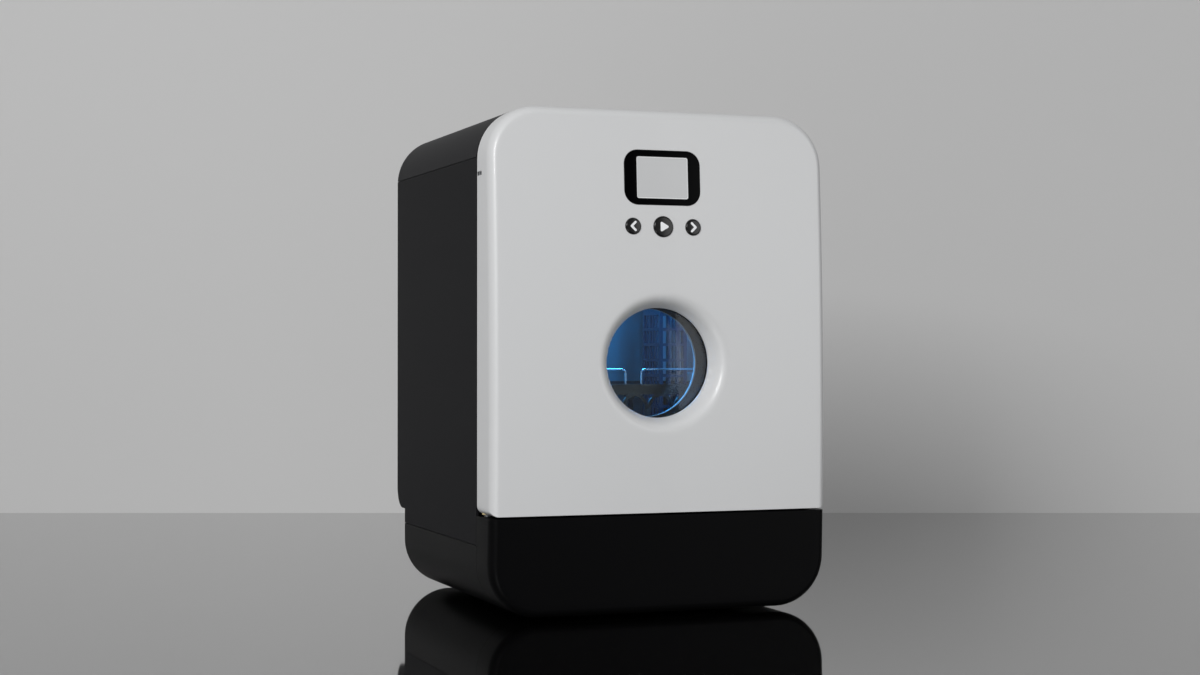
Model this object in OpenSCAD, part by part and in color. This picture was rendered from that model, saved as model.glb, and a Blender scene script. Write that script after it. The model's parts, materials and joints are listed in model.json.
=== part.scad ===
// Countertop dishwasher with a round window, its door hinged at the left, and a pull-out rack.
// The origin is on the worktop, under the middle of the body. +X is the user's right, -Y is the front.

/* [Casing] */
// Width of the body
body_w = 352; // [340:1:370]
// Depth of the body over the door and the rear bulge
body_d = 358; // [350:1:380]
// Height of the body over the feet
body_h = 495; // [485:1:515]
// Height of the feet
foot_h = 3; // [2:0.5:5]
// Radius of a foot
foot_r = 12; // [8:1:16]
// Radius of the two top corners, seen from the front
top_r = 51; // [40:1:56]
// Radius of the two bottom corners, seen from the front
bottom_r = 50; // [40:1:60]
// Wall of the casing panels
skin = 2.5; // [2:0.5:3]
// Joint between two casing panels
seam = 0.6; // [0.4:0.1:0.9]
// Height at which the side panels start above the base tray
side_base_z = 70; // [65:1:76]
// Height of the sides of the top cover
top_depth = 48; // [40:1:56]
// How far the base stands in from the rear of the body
base_inset = 32.4; // [28:0.2:40]
// Height of the underside of the rear bulge
bulge_z = 86; // [82:1:92]
// Radius of the lower rear edge of the bulge
bulge_r = 22; // [12:1:28]
// Play between a casing part and the one it slides into
slip = 0.3; // [0.2:0.05:0.5]

/* [Front form] */
// How far the edge rounding runs back from the front
edge_depth = 12; // [10:1:20]
// How far the edge rounding runs in from the side
edge_inset = 8; // [6:1:16]
// Radius of the upright crown of the front
crown_r = 3900; // [3000:100:6000]
// Height at which the front stands furthest forward
crown_z = 205; // [180:5:240]
// Radius of the sideways crown of the front
side_crown_r = 9000; // [6000:500:20000]
// Steps in each rounded corner of the front form
corner_steps = 9; // [6:1:12]

/* [Door] */
// Depth of the door
door_depth = 49; // [46:1:52]
// Height of the lower edge of the door
door_base_z = 101; // [98:1:105]
// Gap between the door and the cabinet behind it
door_gap = 3; // [2.8:0.1:3.5]
// Gap between the door and the plinth below it
rest_gap = 2; // [1.5:0.5:3]
// Wall of the door moulding
door_wall = 3; // [2.5:0.5:4]
// Radius of the lower corners of the door
door_corner_r = 8; // [5:1:10]
// Wall of the inner door panel
panel_t = 3; // [2:0.5:4]
// How far the raised part of the inner panel reaches into the wash chamber
plug_depth = 7; // [5:0.5:8]
// Gap round the raised part of the inner panel
plug_gap = 3.5; // [3:0.5:5]
// Distance of the hinge axis from the side and from the back of the door
hinge_in = 8; // [7.5:0.25:8.5]
// Radius of the hinge pins
hinge_pin_r = 3; // [2:0.5:3.5]
// How far the upper hinge arm lies below the top of the body
hinge_arm_drop = 65; // [60:1:75]
// Thickness of the upper hinge arm
hinge_arm_t = 3; // [2:0.5:4]
// Running clearance of every pin and shaft, on the radius
run = 0.05; // [0.03:0.01:0.09]

/* [Window] */
// Height of the middle of the window
window_z = 247; // [240:1:256]
// Radius of the window
window_r = 54; // [46:0.5:58]
// Width of the sunk ring round the window
dish_w = 18; // [12:1:24]
// Depth of the sunk ring round the window
dish_depth = 18; // [12:1:22]
// Thickness of the two panes
pane_t = 3; // [2:0.5:4]
// How far the panes reach past the window
pane_lap = 6; // [4:0.5:8]

/* [Controls] */
// Width of the black display surround
bezel_w = 79.5; // [70:0.5:90]
// Height of the black display surround
bezel_h = 53.6; // [48:0.2:58]
// Corner radius of the display surround
bezel_r = 14; // [8:0.5:18]
// How far the middle of the display lies below the top of the body
bezel_drop = 67; // [62:1:72]
// Width of the screen
screen_w = 54; // [46:0.5:58]
// Height of the screen
screen_h = 41; // [36:0.5:44]
// How far the row of buttons lies below the top of the body
button_drop = 115; // [110:1:122]
// Distance between two buttons
button_pitch = 31.5; // [28:0.5:36]
// Radius of the start button
play_r = 10; // [8:0.5:11]
// Radius of the two step buttons
step_r = 7.8; // [6:0.1:9]
// Play round a button
button_play = 0.4; // [0.3:0.1:0.6]
// How far the buttons stand out
button_proud = 1.6; // [1.4:0.1:2]

/* [Wash chamber] */
// Room between the wash chamber and each side of the body
side_room = 26; // [25:0.5:30]
// Room behind the wash chamber
rear_room = 67; // [64:1:72]
// Room above the wash chamber
roof_room = 65; // [62:1:72]
// Seam between the sheets of the wash chamber, and between other joined walls
joint = 0.1; // [0.05:0.05:0.2]
// Wall of the wash chamber
tub_wall = 2.5; // [2:0.5:3]
// Corner radius of the wash chamber
tub_r = 34; // [24:1:40]
// Thickness of the front frame
frame_t = 3; // [2:0.5:4]
// How far the front frame laps over the mouth of the chamber
mouth_lip = 3; // [2:0.5:4]
// Outer radius of the sump
sump_r = 44.5; // [42:0.5:48]
// Depth of the sump under the chamber
sump_h = 50; // [46:1:52]
// Gap between the tip of the spray arm and the wash chamber
arm_gap = 5; // [4:0.5:12]
// Radius of the heating ring
heater_r = 75; // [68:1:90]

/* [Rack] */
// Room between the rack and each side of the wash chamber
rack_side = 25; // [24:0.5:28]
// Gap between the rack and the back of the wash chamber
rack_rear_gap = 8; // [6:0.5:12]
// Gap between the closed door and the rack
rack_gap = 25; // [24:0.5:27]
// Height of the underside of the rack rim above the chamber floor
rim_z = 105.5; // [100:0.5:110]
// Height of the rack rim
rim_h = 10.5; // [9:0.5:12]
// Width of the rack rim, seen from above
rim_w = 9; // [8:0.5:12]
// Height of the rack floor above the chamber floor
rack_floor_z = 46; // [42:1:50]
// Distance between two arches
arch_pitch = 28.5; // [26:0.5:32]
// Width of an arch's band
arch_band = 6; // [4:0.5:7]
// Radius of the wire of the cup hoops
wire_r = 1; // [0.8:0.1:1.2]
// Width of a cup hoop
hoop_w = 61.5; // [50:0.5:70]
// Height of a cup hoop above the rim
hoop_h = 15; // [12:0.5:20]
// Width of the cutlery basket
basket_w = 32; // [28:1:34]
// Depth of the cutlery basket
basket_d = 52; // [44:1:56]
// Height of the cutlery basket
basket_h = 150; // [130:1:160]

/* [Works] */
// Width of the water tank
tank_w = 220; // [180:1:240]
// Room between the water tank and the top of the body
fill_room = 95; // [90:1:130]
// Wall of the water tank
tank_wall = 2; // [1.5:0.5:3]
// Width of the fill lid
lid_w = 70; // [60:1:80]
// Depth of the fill lid
lid_d = 42; // [38:1:42]
// Radius of the wash pump housing
wash_pump_r = 28; // [24:1:30]
// Radius of the drain pump housing
drain_pump_r = 18; // [16:1:20]
// Radius of the fan housing
fan_r = 34; // [30:1:36]
// Outer radius of the drain spigot
spigot_r = 8; // [7:0.5:9]
// Outer radius of the threaded water inlet
inlet_r = 13.2; // [12:0.1:13.5]
// Radius of the bore of the mains lead gland
gland_bore_r = 4; // [3:0.25:5]
// How far the spigots stand out of the base
spigot_len = 26; // [20:1:28]
// Height of the middle of the finger recess in the door's edge
grip_z = 325; // [300:1:350]
// Length of the finger recess
grip_len = 100; // [80:1:120]
// Height of the detergent dispenser
cell_h = 44; // [38:1:50]
// Depth of the detergent dispenser
cell_depth = 26; // [20:1:28]

/* [Hidden] */
$fn = 64;

front_y = -body_d / 2;
rear_y = body_d / 2;
base_rear_y = rear_y - base_inset;
door_back_y = front_y + door_depth;
cab_y = door_back_y + door_gap;
side_x = body_w / 2;
plinth_top = door_base_z - rest_gap;
top_seam_z = body_h - top_depth;
hinge_arm_z = body_h - hinge_arm_drop;
bezel_z = body_h - bezel_drop;
button_z = body_h - button_drop;
over = 20; // how far a cutting shape runs past what it cuts

// Wash chamber planes
tub_w = body_w - 2 * side_room;
tub_y0 = cab_y + frame_t;
tub_y1 = rear_y - rear_room;
tub_z0 = door_base_z + 8;
tub_z1 = body_h - roof_room;
arm_r = tub_y1 - arm_gap;
tub_floor_z = tub_z0 - tub_wall;
tub_roof_z = tub_z1 + tub_wall;
mouth_x = tub_w / 2 - mouth_lip;
mouth_z0 = tub_z0 + mouth_lip;
mouth_z1 = tub_z1 - mouth_lip;
mouth_r = tub_r - mouth_lip;

// Door planes
hinge_x = -side_x + hinge_in;
hinge_y = door_back_y - hinge_in;
panel_y = door_back_y - panel_t;
plug_y = door_back_y + plug_depth;
rim_y = front_y + dish_depth;
pane_y = rim_y + door_wall;
tunnel_y0 = pane_y + pane_t;
inner_pane_y = plug_y - panel_t - pane_t;
tunnel_wall = 2.5;

// Rack planes
rack_w = tub_w - 2 * rack_side;
rack_y0 = plug_y + rack_gap;
rack_y1 = tub_y1 - rack_rear_gap;
rack_d = rack_y1 - rack_y0;
rim_bottom = tub_z0 + rim_z;
rim_top = rim_bottom + rim_h;
floor_z = tub_z0 + rack_floor_z;
floor_t = 4;
shoe_w = 18;
shoe_len = 120;
runner_play = 0.5;
runner_w = rack_side - 9;

// Rear and base
tray_floor = foot_h + 3;
tank_y0 = tub_y1 + tub_wall + 5;
tank_y1 = rear_y - skin - 4.5;
tank_z0 = bulge_z + skin + 11.5;
tank_h = body_h - fill_room - tank_z0;
tank_mid_y = (tank_y0 + tank_y1) / 2;
sump_z0 = tub_floor_z - sump_h;
port_z = sump_z0 + 12;
wash_pump_z = sump_z0 + 10.5;
deliver_z = sump_z0 - 10;
lid_t = skin;
lid_y1 = tank_mid_y + lid_d / 2;
lid_y0 = tank_mid_y - lid_d / 2;
lid_pin_r = 0.7;
fan_x = 88;
fan_y = -30;
latch_z = door_base_z + 148;
float_x = 98;
float_y = -92;

function crown_at(z) = pow(z - crown_z, 2) / (2 * crown_r);
function lean_at(z) = asin((z - crown_z) / crown_r);

// A flat shape drawn in X and Z, carried from y0 back to y1
module slab(y0, y1) {
    translate([0, y1, 0]) rotate([90, 0, 0]) linear_extrude(y1 - y0) children();
}

// A flat shape drawn in Y and Z, carried from x0 to x1
module side_slab(x0, x1) {
    translate([x0, 0, 0]) rotate([90, 0, 90]) linear_extrude(x1 - x0) children();
}

module block(lo, hi) {
    translate(lo) cube(hi - lo);
}

module rod_x(r, x0, x1, y, z) {
    translate([x0, y, z]) rotate([0, 90, 0]) cylinder(r = r, h = x1 - x0);
}

module rod_y(r, y0, y1, x, z) {
    translate([x, y1, z]) rotate([90, 0, 0]) cylinder(r = r, h = y1 - y0);
}

module rod_z(r, z0, z1, x, y) {
    translate([x, y, z0]) cylinder(r = r, h = z1 - z0);
}

module round_rect(x0, x1, z0, z1, r) {
    translate([x0 + r, z0]) square([x1 - x0 - 2 * r, z1 - z0]);
    translate([x0, z0 + r]) square([x1 - x0, z1 - z0 - 2 * r]);
    for (x = [x0 + r, x1 - r], z = [z0 + r, z1 - r]) translate([x, z]) circle(r);
}

// Outline of the body seen from the front, drawn in by g
module face_outline(g = 0) {
    w = body_w / 2 - g;
    zt = body_h - g;
    zb = foot_h + g;
    rt = top_r - g;
    rb = bottom_r - g;
    translate([-w, zb + rb]) square([2 * w, zt - rt - zb - rb]);
    translate([-w + rt, zb + rb]) square([2 * (w - rt), zt - zb - rb]);
    translate([-w + rb, zb]) square([2 * (w - rb), zt - rt - zb]);
    for (s = [-1, 1]) {
        translate([s * (w - rt), zt - rt]) circle(rt);
        translate([s * (w - rb), zb + rb]) circle(rb);
    }
}

module mouth_outline(g = 0) {
    round_rect(-mouth_x - g, mouth_x + g, mouth_z0 - g, mouth_z1 + g, mouth_r + g);
}

// Side view of the cabinet drawn in by g: the base stands in under the rear bulge
module cabinet_profile(g = 0) {
    r = bulge_r - g;
    translate([cab_y, 0]) square([base_rear_y - g - cab_y, body_h]);
    translate([cab_y, bulge_z + g]) square([rear_y - g - r - cab_y, body_h - bulge_z]);
    translate([cab_y, bulge_z + g + r]) square([rear_y - g - cab_y, body_h - bulge_z]);
    translate([rear_y - g - r, bulge_z + g + r]) circle(r);
}

// Points of the body's outline drawn in by s, from the bottom right corner upward and round
side_steps = 8;
least_r = 6;
function outline_ring(s) =
    let (
        w = body_w / 2 - s, zt = body_h - s, zb = foot_h + s,
        rt = max(top_r - s, least_r), rb = max(bottom_r - s, least_r),
        low = zb + rb, high = zt - rt
    )
    concat(
        [for (i = [0 : corner_steps]) let (a = -90 + 90 * i / corner_steps)
            [w - rb + rb * cos(a), low + rb * sin(a)]],
        [for (i = [1 : side_steps - 1]) [w, low + (high - low) * i / side_steps]],
        [for (i = [0 : corner_steps]) let (a = 90 * i / corner_steps)
            [w - rt + rt * cos(a), high + rt * sin(a)]],
        [for (i = [0 : corner_steps]) let (a = 90 + 90 * i / corner_steps)
            [-w + rt + rt * cos(a), high + rt * sin(a)]],
        [for (i = [1 : side_steps - 1]) [-w, high + (low - high) * i / side_steps]],
        [for (i = [0 : corner_steps]) let (a = 180 + 90 * i / corner_steps)
            [-w + rb + rb * cos(a), low + rb * sin(a)]]
    );

// The whole front, door and plinth in one: straight sides, a rounded edge and a crowned face
edge_steps = 6;
face_insets = [30, 60, 95, 135];
module front_form(back_y) {
    rings = concat(
        [[0, undef]],
        [for (k = [0 : edge_steps]) let (a = 90 * k / edge_steps)
            [edge_inset * (1 - cos(a)), edge_depth * (1 - sin(a))]],
        [for (s = face_insets) [s, 0]]
    );
    n = len(outline_ring(0));
    points = [for (ring = rings) for (p = outline_ring(ring[0]))
        [p[0], ring[1] == undef ? back_y :
            front_y + crown_at(p[1]) + pow(p[0], 2) / (2 * side_crown_r) + ring[1], p[1]]];
    last = (len(rings) - 1) * n;
    faces = concat(
        [[for (i = [0 : n - 1]) i]],
        [for (k = [0 : len(rings) - 2], i = [0 : n - 1]) let (j = (i + 1) % n)
            [k * n + i, (k + 1) * n + i, (k + 1) * n + j]],
        [for (k = [0 : len(rings) - 2], i = [0 : n - 1]) let (j = (i + 1) % n)
            [k * n + i, (k + 1) * n + j, k * n + j]],
        [for (i = [0 : n / 2 - 2]) [last + n - 1 - i, last + n - 2 - i, last + i + 1, last + i]]
    );
    polyhedron(points, faces);
}

room_steps = 12;
// Room inside the front form: two steps that follow the rounded edge and the crown
module front_room(back_y) {
    step_y = front_y + edge_depth + 5;
    slab(step_y, back_y) face_outline(door_wall);
    intersection() {
        slab(front_y, back_y) face_outline(edge_inset - 2);
        side_slab(-side_x, side_x) polygon(concat(
            [for (i = [0 : room_steps]) let (z = body_h * i / room_steps) [front_y + face_t + crown_at(z), z]],
            [[back_y, body_h], [back_y, 0]]
        ));
    }
}

module at_front(x, z) {
    translate([x, front_y + crown_at(z), z]) rotate([-lean_at(z), 0, 0]) children();
}

// A disc or rod whose axis stands square on the leaning front, from depth d0 to d1 behind it
module front_rod(r, d0, d1) {
    translate([0, d1, 0]) rotate([90, 0, 0]) cylinder(r = r, h = d1 - d0);
}

module front_plate(w, h, r, d0, d1) {
    slab(d0, d1) round_rect(-w / 2, w / 2, -h / 2, h / 2, r);
}

// Casing

module base_tray() {
    color("#1c1c1e") {
        difference() {
            slab(cab_y, base_rear_y) face_outline();
            slab(cab_y - over, base_rear_y + over) face_outline(tray_wall);
            block([-side_x - over, cab_y - over, side_base_z], [side_x + over, rear_y, body_h + over]);
        }
        // Rear wall, let in between the sides
        difference() {
            intersection() {
                slab(base_rear_y - skin, base_rear_y) face_outline(tray_wall + joint);
                block([-side_x + skin + slip, base_rear_y - over, 0], [side_x - skin - slip, rear_y, bulge_z - slip]);
            }
            rod_y(spigot_r + slip, base_rear_y - over, base_rear_y + over, spigot_x, port_z);
            rod_y(inlet_r + slip, base_rear_y - over, base_rear_y + over, inlet_x, inlet_z);
            rod_y(gland_bore_r + 3 + slip, base_rear_y - over, base_rear_y + over, gland_x, gland_z);
        }
        pump_cradles();
    }
}

tray_wall = 3;
// Saddles that carry the two pumps
module pump_cradles() {
    difference() {
        intersection() {
            slab(-25, 25) face_outline(tray_wall + joint);
            union() {
                for (x = [wash_motor_x0 + 8, wash_motor_x1 - 14])
                    block([x, -22, foot_h], [x + 6, 22, wash_pump_z - 6]);
                for (x = [drain_motor_x0 + 5, drain_motor_x1 - 11])
                    block([x, -14, foot_h], [x + 6, 14, port_z - 6]);
            }
        }
        rod_x(wash_motor_r, wash_motor_x0 - 1, wash_motor_x1 + 1, 0, wash_pump_z);
        rod_x(drain_motor_r, drain_motor_x0 - 1, drain_motor_x1 + 1, 0, port_z);
    }
}

module front_plinth() {
    shelf = plinth_top - 3;
    color("#121214") difference() {
        union() {
            difference() {
                front_form(cab_y - seam);
                intersection() {
                    front_room(cab_y + over);
                    block([-side_x, front_y, 0], [side_x, cab_y + over, shelf]);
                }
            }
            rod_z(hinge_pin_r + 4, shelf - 11, plinth_top, hinge_x, hinge_y);
        }
        block([-side_x - over, front_y - over, plinth_top], [side_x + over, cab_y + over, body_h + over]);
        rod_z(hinge_pin_r, shelf - 7, plinth_top + 1, hinge_x, hinge_y);
    }
}

module side_panel(s) {
    // Tabs that take the screws of the rear panel
    color("#2b2b2d") mirror([s < 0 ? 1 : 0, 0, 0]) for (z = screw_zs) difference() {
        block([screw_x - 7, rear_y - skin - 8, z - 8], [side_x - skin / 2, rear_y - skin - boss_t, z + 8]);
        rod_y(screw_r, rear_y - over, rear_y, screw_x, z);
    }
    color("#2b2b2d") intersection() {
        difference() {
            slab(cab_y, rear_y) face_outline();
            slab(cab_y - over, rear_y + over) face_outline(skin);
        }
        side_slab(s > 0 ? 0 : -side_x - 1, s > 0 ? side_x + 1 : 0) intersection() {
            cabinet_profile();
            translate([cab_y, side_base_z + seam])
                square([rear_y - cab_y, top_seam_z - side_base_z - 2 * seam]);
        }
    }
}

module top_cover() {
    color("#333335") difference() {
        slab(cab_y, rear_y) face_outline();
        slab(cab_y - over, rear_y + over) face_outline(skin);
        block([-side_x - over, cab_y - over, 0], [side_x + over, rear_y + over, top_seam_z]);
        block([-lid_w / 2 - seam, lid_y0 - seam, body_h - over],
            [lid_w / 2 + seam, lid_y1 + seam, body_h + over]);
        rod_x(lid_pin_r + run, -lid_w / 2 - 4, lid_w / 2 + 4, lid_y1 - lid_t / 2, body_h - lid_t / 2);
        // Finger scoop in front of the lid
        translate([0, lid_y0 - seam, body_h + 9]) rotate([0, 90, 0]) cylinder(r = 10.5, h = 26, center = true);
    }
}

vent_rows = 7;
vent_pitch = 9;
vent_z = body_h - 110;
screw_x = side_x - 22;
screw_zs = [bulge_z + bulge_r + 12, (bulge_z + top_seam_z) / 2 + 8, body_h - 65];
screw_r = 1.6;
head_r = 3.4;
boss_t = 4;
module rear_panel() {
    color("#222224") difference() {
        union() {
            difference() {
                intersection() {
                    slab(base_rear_y + slip, rear_y) face_outline(skin + slip);
                    side_slab(-side_x, side_x) cabinet_profile();
                    block([-side_x, base_rear_y - over, bulge_z], [side_x, rear_y + over, body_h]);
                }
                side_slab(-side_x - over, side_x + over) cabinet_profile(skin);
            }
            for (x = [-screw_x, screw_x], z = screw_zs)
                rod_y(head_r + 3, rear_y - skin - boss_t, rear_y - 1, x, z);
        }
        for (i = [0 : vent_rows - 1], s = [-1, 1])
            block([s * 60 - 38, rear_y - over, vent_z + vent_pitch * i],
                [s * 60 + 38, rear_y + 1, vent_z + vent_pitch * i + 3.5]);
        for (x = [-screw_x, screw_x], z = screw_zs) {
            rod_y(screw_r + slip, rear_y - over, rear_y, x, z);
            rod_y(head_r + slip, rear_y - 2.5, rear_y + 1, x, z);
        }
    }
}

module casing_screws() {
    color("#5a5a5e") for (x = [-screw_x, screw_x], z = screw_zs) {
        difference() {
            rod_y(head_r, rear_y - 2.5, rear_y - 0.5, x, z);
            for (a = [0, 90]) translate([x, rear_y, z]) rotate([0, a, 0]) block([-2, -1.5, -0.4], [2, 1, 0.4]);
        }
        rod_y(screw_r, rear_y - skin - 12, rear_y - 2, x, z);
    }
}

foot_x = 95;
foot_ys = [cab_y + 26, base_rear_y - 30];
module feet() {
    color("#2a2a2a") for (x = [-foot_x, foot_x], y = foot_ys) rod_z(foot_r, 0, foot_h, x, y);
}

module front_frame() {
    color("#d9dadb") difference() {
        slab(cab_y, cab_y + frame_t) difference() {
            face_outline(skin + slip);
            mouth_outline();
            translate([-side_x, 0]) square([body_w, door_base_z + 1]);
            // Corners that the rounded corners of the door would uncover
            for (x = [-side_x, side_x - 2 * door_corner_r]) translate([x, 0])
                square([2 * door_corner_r, door_base_z + door_corner_r + 2]);
        }
        block([latch_x - 3.5, cab_y - 1, latch_z - 9], [latch_x + 3.5, cab_y + frame_t + 1, latch_z + 9]);
    }
}

gasket_w = 6;
module door_gasket() {
    color("#4a4b4d") slab(door_back_y + slip, cab_y) difference() {
        mouth_outline(gasket_w);
        mouth_outline(1);
    }
}

// Wash chamber

flange = 8;
module tub_outline(g = 0) {
    round_rect(-tub_w / 2 - g, tub_w / 2 + g, tub_z0 - g, tub_z1 + g, tub_r + g);
}

// Sides, roof and floor of the chamber in one band with its front flange
module tub_band() {
    difference() {
        union() {
            slab(tub_y0, tub_y1) tub_outline(tub_wall);
            slab(tub_y0, tub_y0 + tub_wall) tub_outline(flange);
        }
        slab(tub_y0 - over, tub_y1 + over) tub_outline();
    }
}

// Everything above the seams that halve the two upper corners of the chamber, and g past them
module above_seams(g) {
    x = tub_w / 2 - tub_r;
    z = tub_z1 - tub_r - g * sqrt(2);
    slab(tub_y0 - over, tub_y1 + over)
        polygon([[-x, z], [x, z], [x + body_h, z + body_h], [-x - body_h, z + body_h]]);
}

module wash_tub() {
    split = tub_z0 + tub_r;
    color("#c9ccd0") {
        // Roof sheet
        intersection() {
            difference() {
                union() {
                    tub_band();
                    board_posts();
                }
                block([-lamp_w / 2, lamp_y0, tub_z1 - 1], [lamp_w / 2, lamp_y1, tub_roof_z + 1]);
                rod_z(8, tub_z1 - 1, tub_roof_z + 1, fan_x, fan_y - 21);
            }
            above_seams(-joint / 2);
        }
        // Side sheets
        difference() {
            tub_band();
            above_seams(joint / 2);
            block([-side_x, tub_y0 - over, 0], [side_x, tub_y1 + over, split + joint / 2]);
        }
        // Floor pan
        difference() {
            union() {
                tub_band();
                rod_z(7.5, tub_floor_z, tub_z0 + 7, float_x, float_y);
            }
            block([-side_x, tub_y0 - over, split - joint / 2], [side_x, tub_y1 + over, body_h]);
            rod_z(sump_r - 0.5, tub_floor_z - 1, tub_z0 + 1, 0, 0);
            rod_z(float_stem_r + 0.3, tub_floor_z - 1, tub_z0 + over, float_x, float_y);
            for (s = [-1, 1])
                rod_z(heater_tube_r + 0.1, tub_floor_z - 1, tub_z0 + 1, s * heater_leg_x, heater_leg_y);
        }
        // Back
        slab(tub_y1 + joint, tub_y1 + tub_wall) tub_outline(tub_wall);
    }
}

board_x = [-128, -28];
board_y = [-60, 20];
module board_posts() {
    for (x = [board_x[0] + 6, board_x[1] - 6], y = [board_y[0] + 6, board_y[1] - 6])
        rod_z(3, tub_roof_z - 1, tub_roof_z + 10, x, y);
}

module rack_runners() {
    groove = rack_w / 2 + shoe_w + 2;
    color("#e4e6e8") for (s = [-1, 1]) mirror([s < 0 ? 1 : 0, 0, 0]) difference() {
        block([tub_w / 2 - runner_w, tub_y0 + 12, rim_bottom - 9], [tub_w / 2, tub_y1, rim_top + 9]);
        block([0, tub_y0, rim_bottom - runner_play], [groove, tub_y1 - 3, rim_top + runner_play]);
    }
}

module sump() {
    color("#3a3c40") difference() {
        union() {
            rod_z(sump_r, sump_z0, tub_floor_z, 0, 0);
            rod_z(sump_r + 11, tub_floor_z - 2.5, tub_floor_z, 0, 0);
            rod_x(8, -sump_r - 14, 0, 0, wash_pump_z);
            rod_x(7, 0, sump_r + 14, 0, port_z);
            rod_y(7, 0, sump_r + 12, 0, supply_z);
            // Delivery boss under the floor, with its side port
            rod_z(12, sump_z0 - 18, sump_z0 + 1, 0, 0);
            rod_x(6, -24, 0, 0, deliver_z);
        }
        rod_z(sump_r - 3, sump_z0 + 2.5, tub_floor_z + 1, 0, 0);
        rod_z(9, sump_z0 - 8, sump_z0 + 3, 0, 0);
        rod_z(6, deliver_z - 4, sump_z0, 0, 0);
        rod_x(4, -25, 0, 0, deliver_z);
        rod_x(6, -sump_r - 15, -sump_r + 5, 0, wash_pump_z);
        rod_x(5, sump_r - 5, sump_r + 15, 0, port_z);
        rod_y(5, sump_r - 5, sump_r + 13, 0, supply_z);
    }
}

post_r = 8;
arm_z0 = tub_z0 + 12;
arm_t = 8;
module spray_post() {
    color("#6d7075") difference() {
        union() {
            rod_z(9, sump_z0 - 8, tub_z0 + 8, 0, 0);
            rod_z(post_r, tub_z0 + 7, arm_z0 + arm_t + 3, 0, 0);
            rod_z(12, arm_z0 + arm_t + 2.3, arm_z0 + arm_t + 7, 0, 0);
        }
        rod_z(6, sump_z0 - 9, arm_z0 + arm_t, 0, 0);
        for (a = [0 : 60 : 300]) rotate([0, 0, a]) rod_x(1.6, 4, 10, 0, arm_z0 + arm_t / 2);
    }
}

module filter_plate() {
    color("#b9bcc0") difference() {
        rod_z(sump_r - 0.8, tub_floor_z, tub_floor_z + 2, 0, 0);
        rod_z(9.6, tub_floor_z - 1, tub_floor_z + 3, 0, 0);
        rod_z(cup_r + 0.6, tub_floor_z - 1, tub_floor_z + 3, 0, cup_y);
        for (k = [0 : 2], a = [0 : 15 : 345])
            if (norm([0, cup_y] - (17 + 9 * k) * [cos(a), sin(a)]) > cup_r + 3.5)
                rod_z(1.4, tub_floor_z - 1, tub_floor_z + 3, (17 + 9 * k) * cos(a), (17 + 9 * k) * sin(a));
    }
}

heater_tube_r = 3.5;
heater_z = tub_z0 + 5;
heater_leg_x = 9;
heater_leg_y = sqrt(pow(heater_r, 2) - pow(heater_leg_x, 2));
module heater() {
    gap_a = atan2(heater_leg_x, heater_leg_y);
    color("#8c9096") {
        translate([0, 0, heater_z]) rotate([0, 0, 90 + gap_a])
            rotate_extrude(angle = 360 - 2 * gap_a) translate([heater_r, 0]) circle(heater_tube_r);
        for (s = [-1, 1]) {
            rod_z(heater_tube_r, tub_floor_z - 10, heater_z, s * heater_leg_x, heater_leg_y);
            translate([s * heater_leg_x, heater_leg_y, heater_z]) sphere(heater_tube_r);
        }
    }
}

lamp_w = 82;
lamp_y0 = tub_y0 + 22;
lamp_y1 = lamp_y0 + 22;
module tub_lamp() {
    color("#8fd0ff") {
        block([-lamp_w / 2 + slip, lamp_y0 + slip, tub_z1], [lamp_w / 2 - slip, lamp_y1 - slip, tub_roof_z]);
        block([-lamp_w / 2 - 5, lamp_y0 - 5, tub_roof_z], [lamp_w / 2 + 5, lamp_y1 + 5, tub_roof_z + 3]);
    }
}

// Works under and behind the wash chamber

wash_face_x = -sump_r - 22;
wash_volute_l = 24;
wash_motor_r = 25;
wash_motor_x1 = wash_face_x - wash_volute_l;
wash_motor_x0 = wash_motor_x1 - 56;
wash_shaft_r = 3;
module wash_pump_housing() {
    color("#2f3135") difference() {
        union() {
            rod_x(wash_pump_r, wash_motor_x1, wash_face_x, 0, wash_pump_z);
            rod_x(8, wash_face_x - 2, -sump_r - 14, 0, wash_pump_z);
            rod_x(6, wash_face_x - 2, wash_face_x + 14, 0, deliver_z);
        }
        rod_x(wash_pump_r - 3, wash_motor_x1 + 3, wash_face_x - 3, 0, wash_pump_z);
        rod_x(6, wash_face_x - 4, wash_face_x + 9, 0, wash_pump_z);
        rod_x(4, wash_face_x - 4, wash_face_x + 15, 0, deliver_z);
        rod_x(wash_shaft_r + 1, wash_motor_x1 - 1, wash_motor_x1 + 4, 0, wash_pump_z);
    }
}

module wash_pump_motor() {
    color("#9a9da2") difference() {
        rod_x(wash_motor_r, wash_motor_x0, wash_motor_x1, 0, wash_pump_z);
        rod_x(wash_shaft_r + run, wash_motor_x0 + 6, wash_motor_x1 + 1, 0, wash_pump_z);
        for (a = [0 : 30 : 330]) translate([0, 0, wash_pump_z]) rotate([a, 0, 0])
            block([wash_motor_x0 + 12, wash_motor_r - 3, -2], [wash_motor_x1 - 12, wash_motor_r + 1, 2]);
    }
}

module impeller(x0, x1, r, shaft_r, shaft_x0, z, blades) {
    rod_x(shaft_r, shaft_x0, x1, 0, z);
    rod_x(r, x0, x0 + 2, 0, z);
    rod_x(shaft_r + 3, x0, x1, 0, z);
    for (a = [0 : 360 / blades : 359]) translate([0, 0, z]) rotate([a, 0, 0])
        block([x0, shaft_r, -1], [x1, r - 0.5, 1]);
}

module wash_impeller() {
    color("#d8d4c8") impeller(wash_motor_x1 + 5, wash_face_x - 6, wash_pump_r - 5, wash_shaft_r,
        wash_motor_x0 + 8, wash_pump_z, 6);
}

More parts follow.
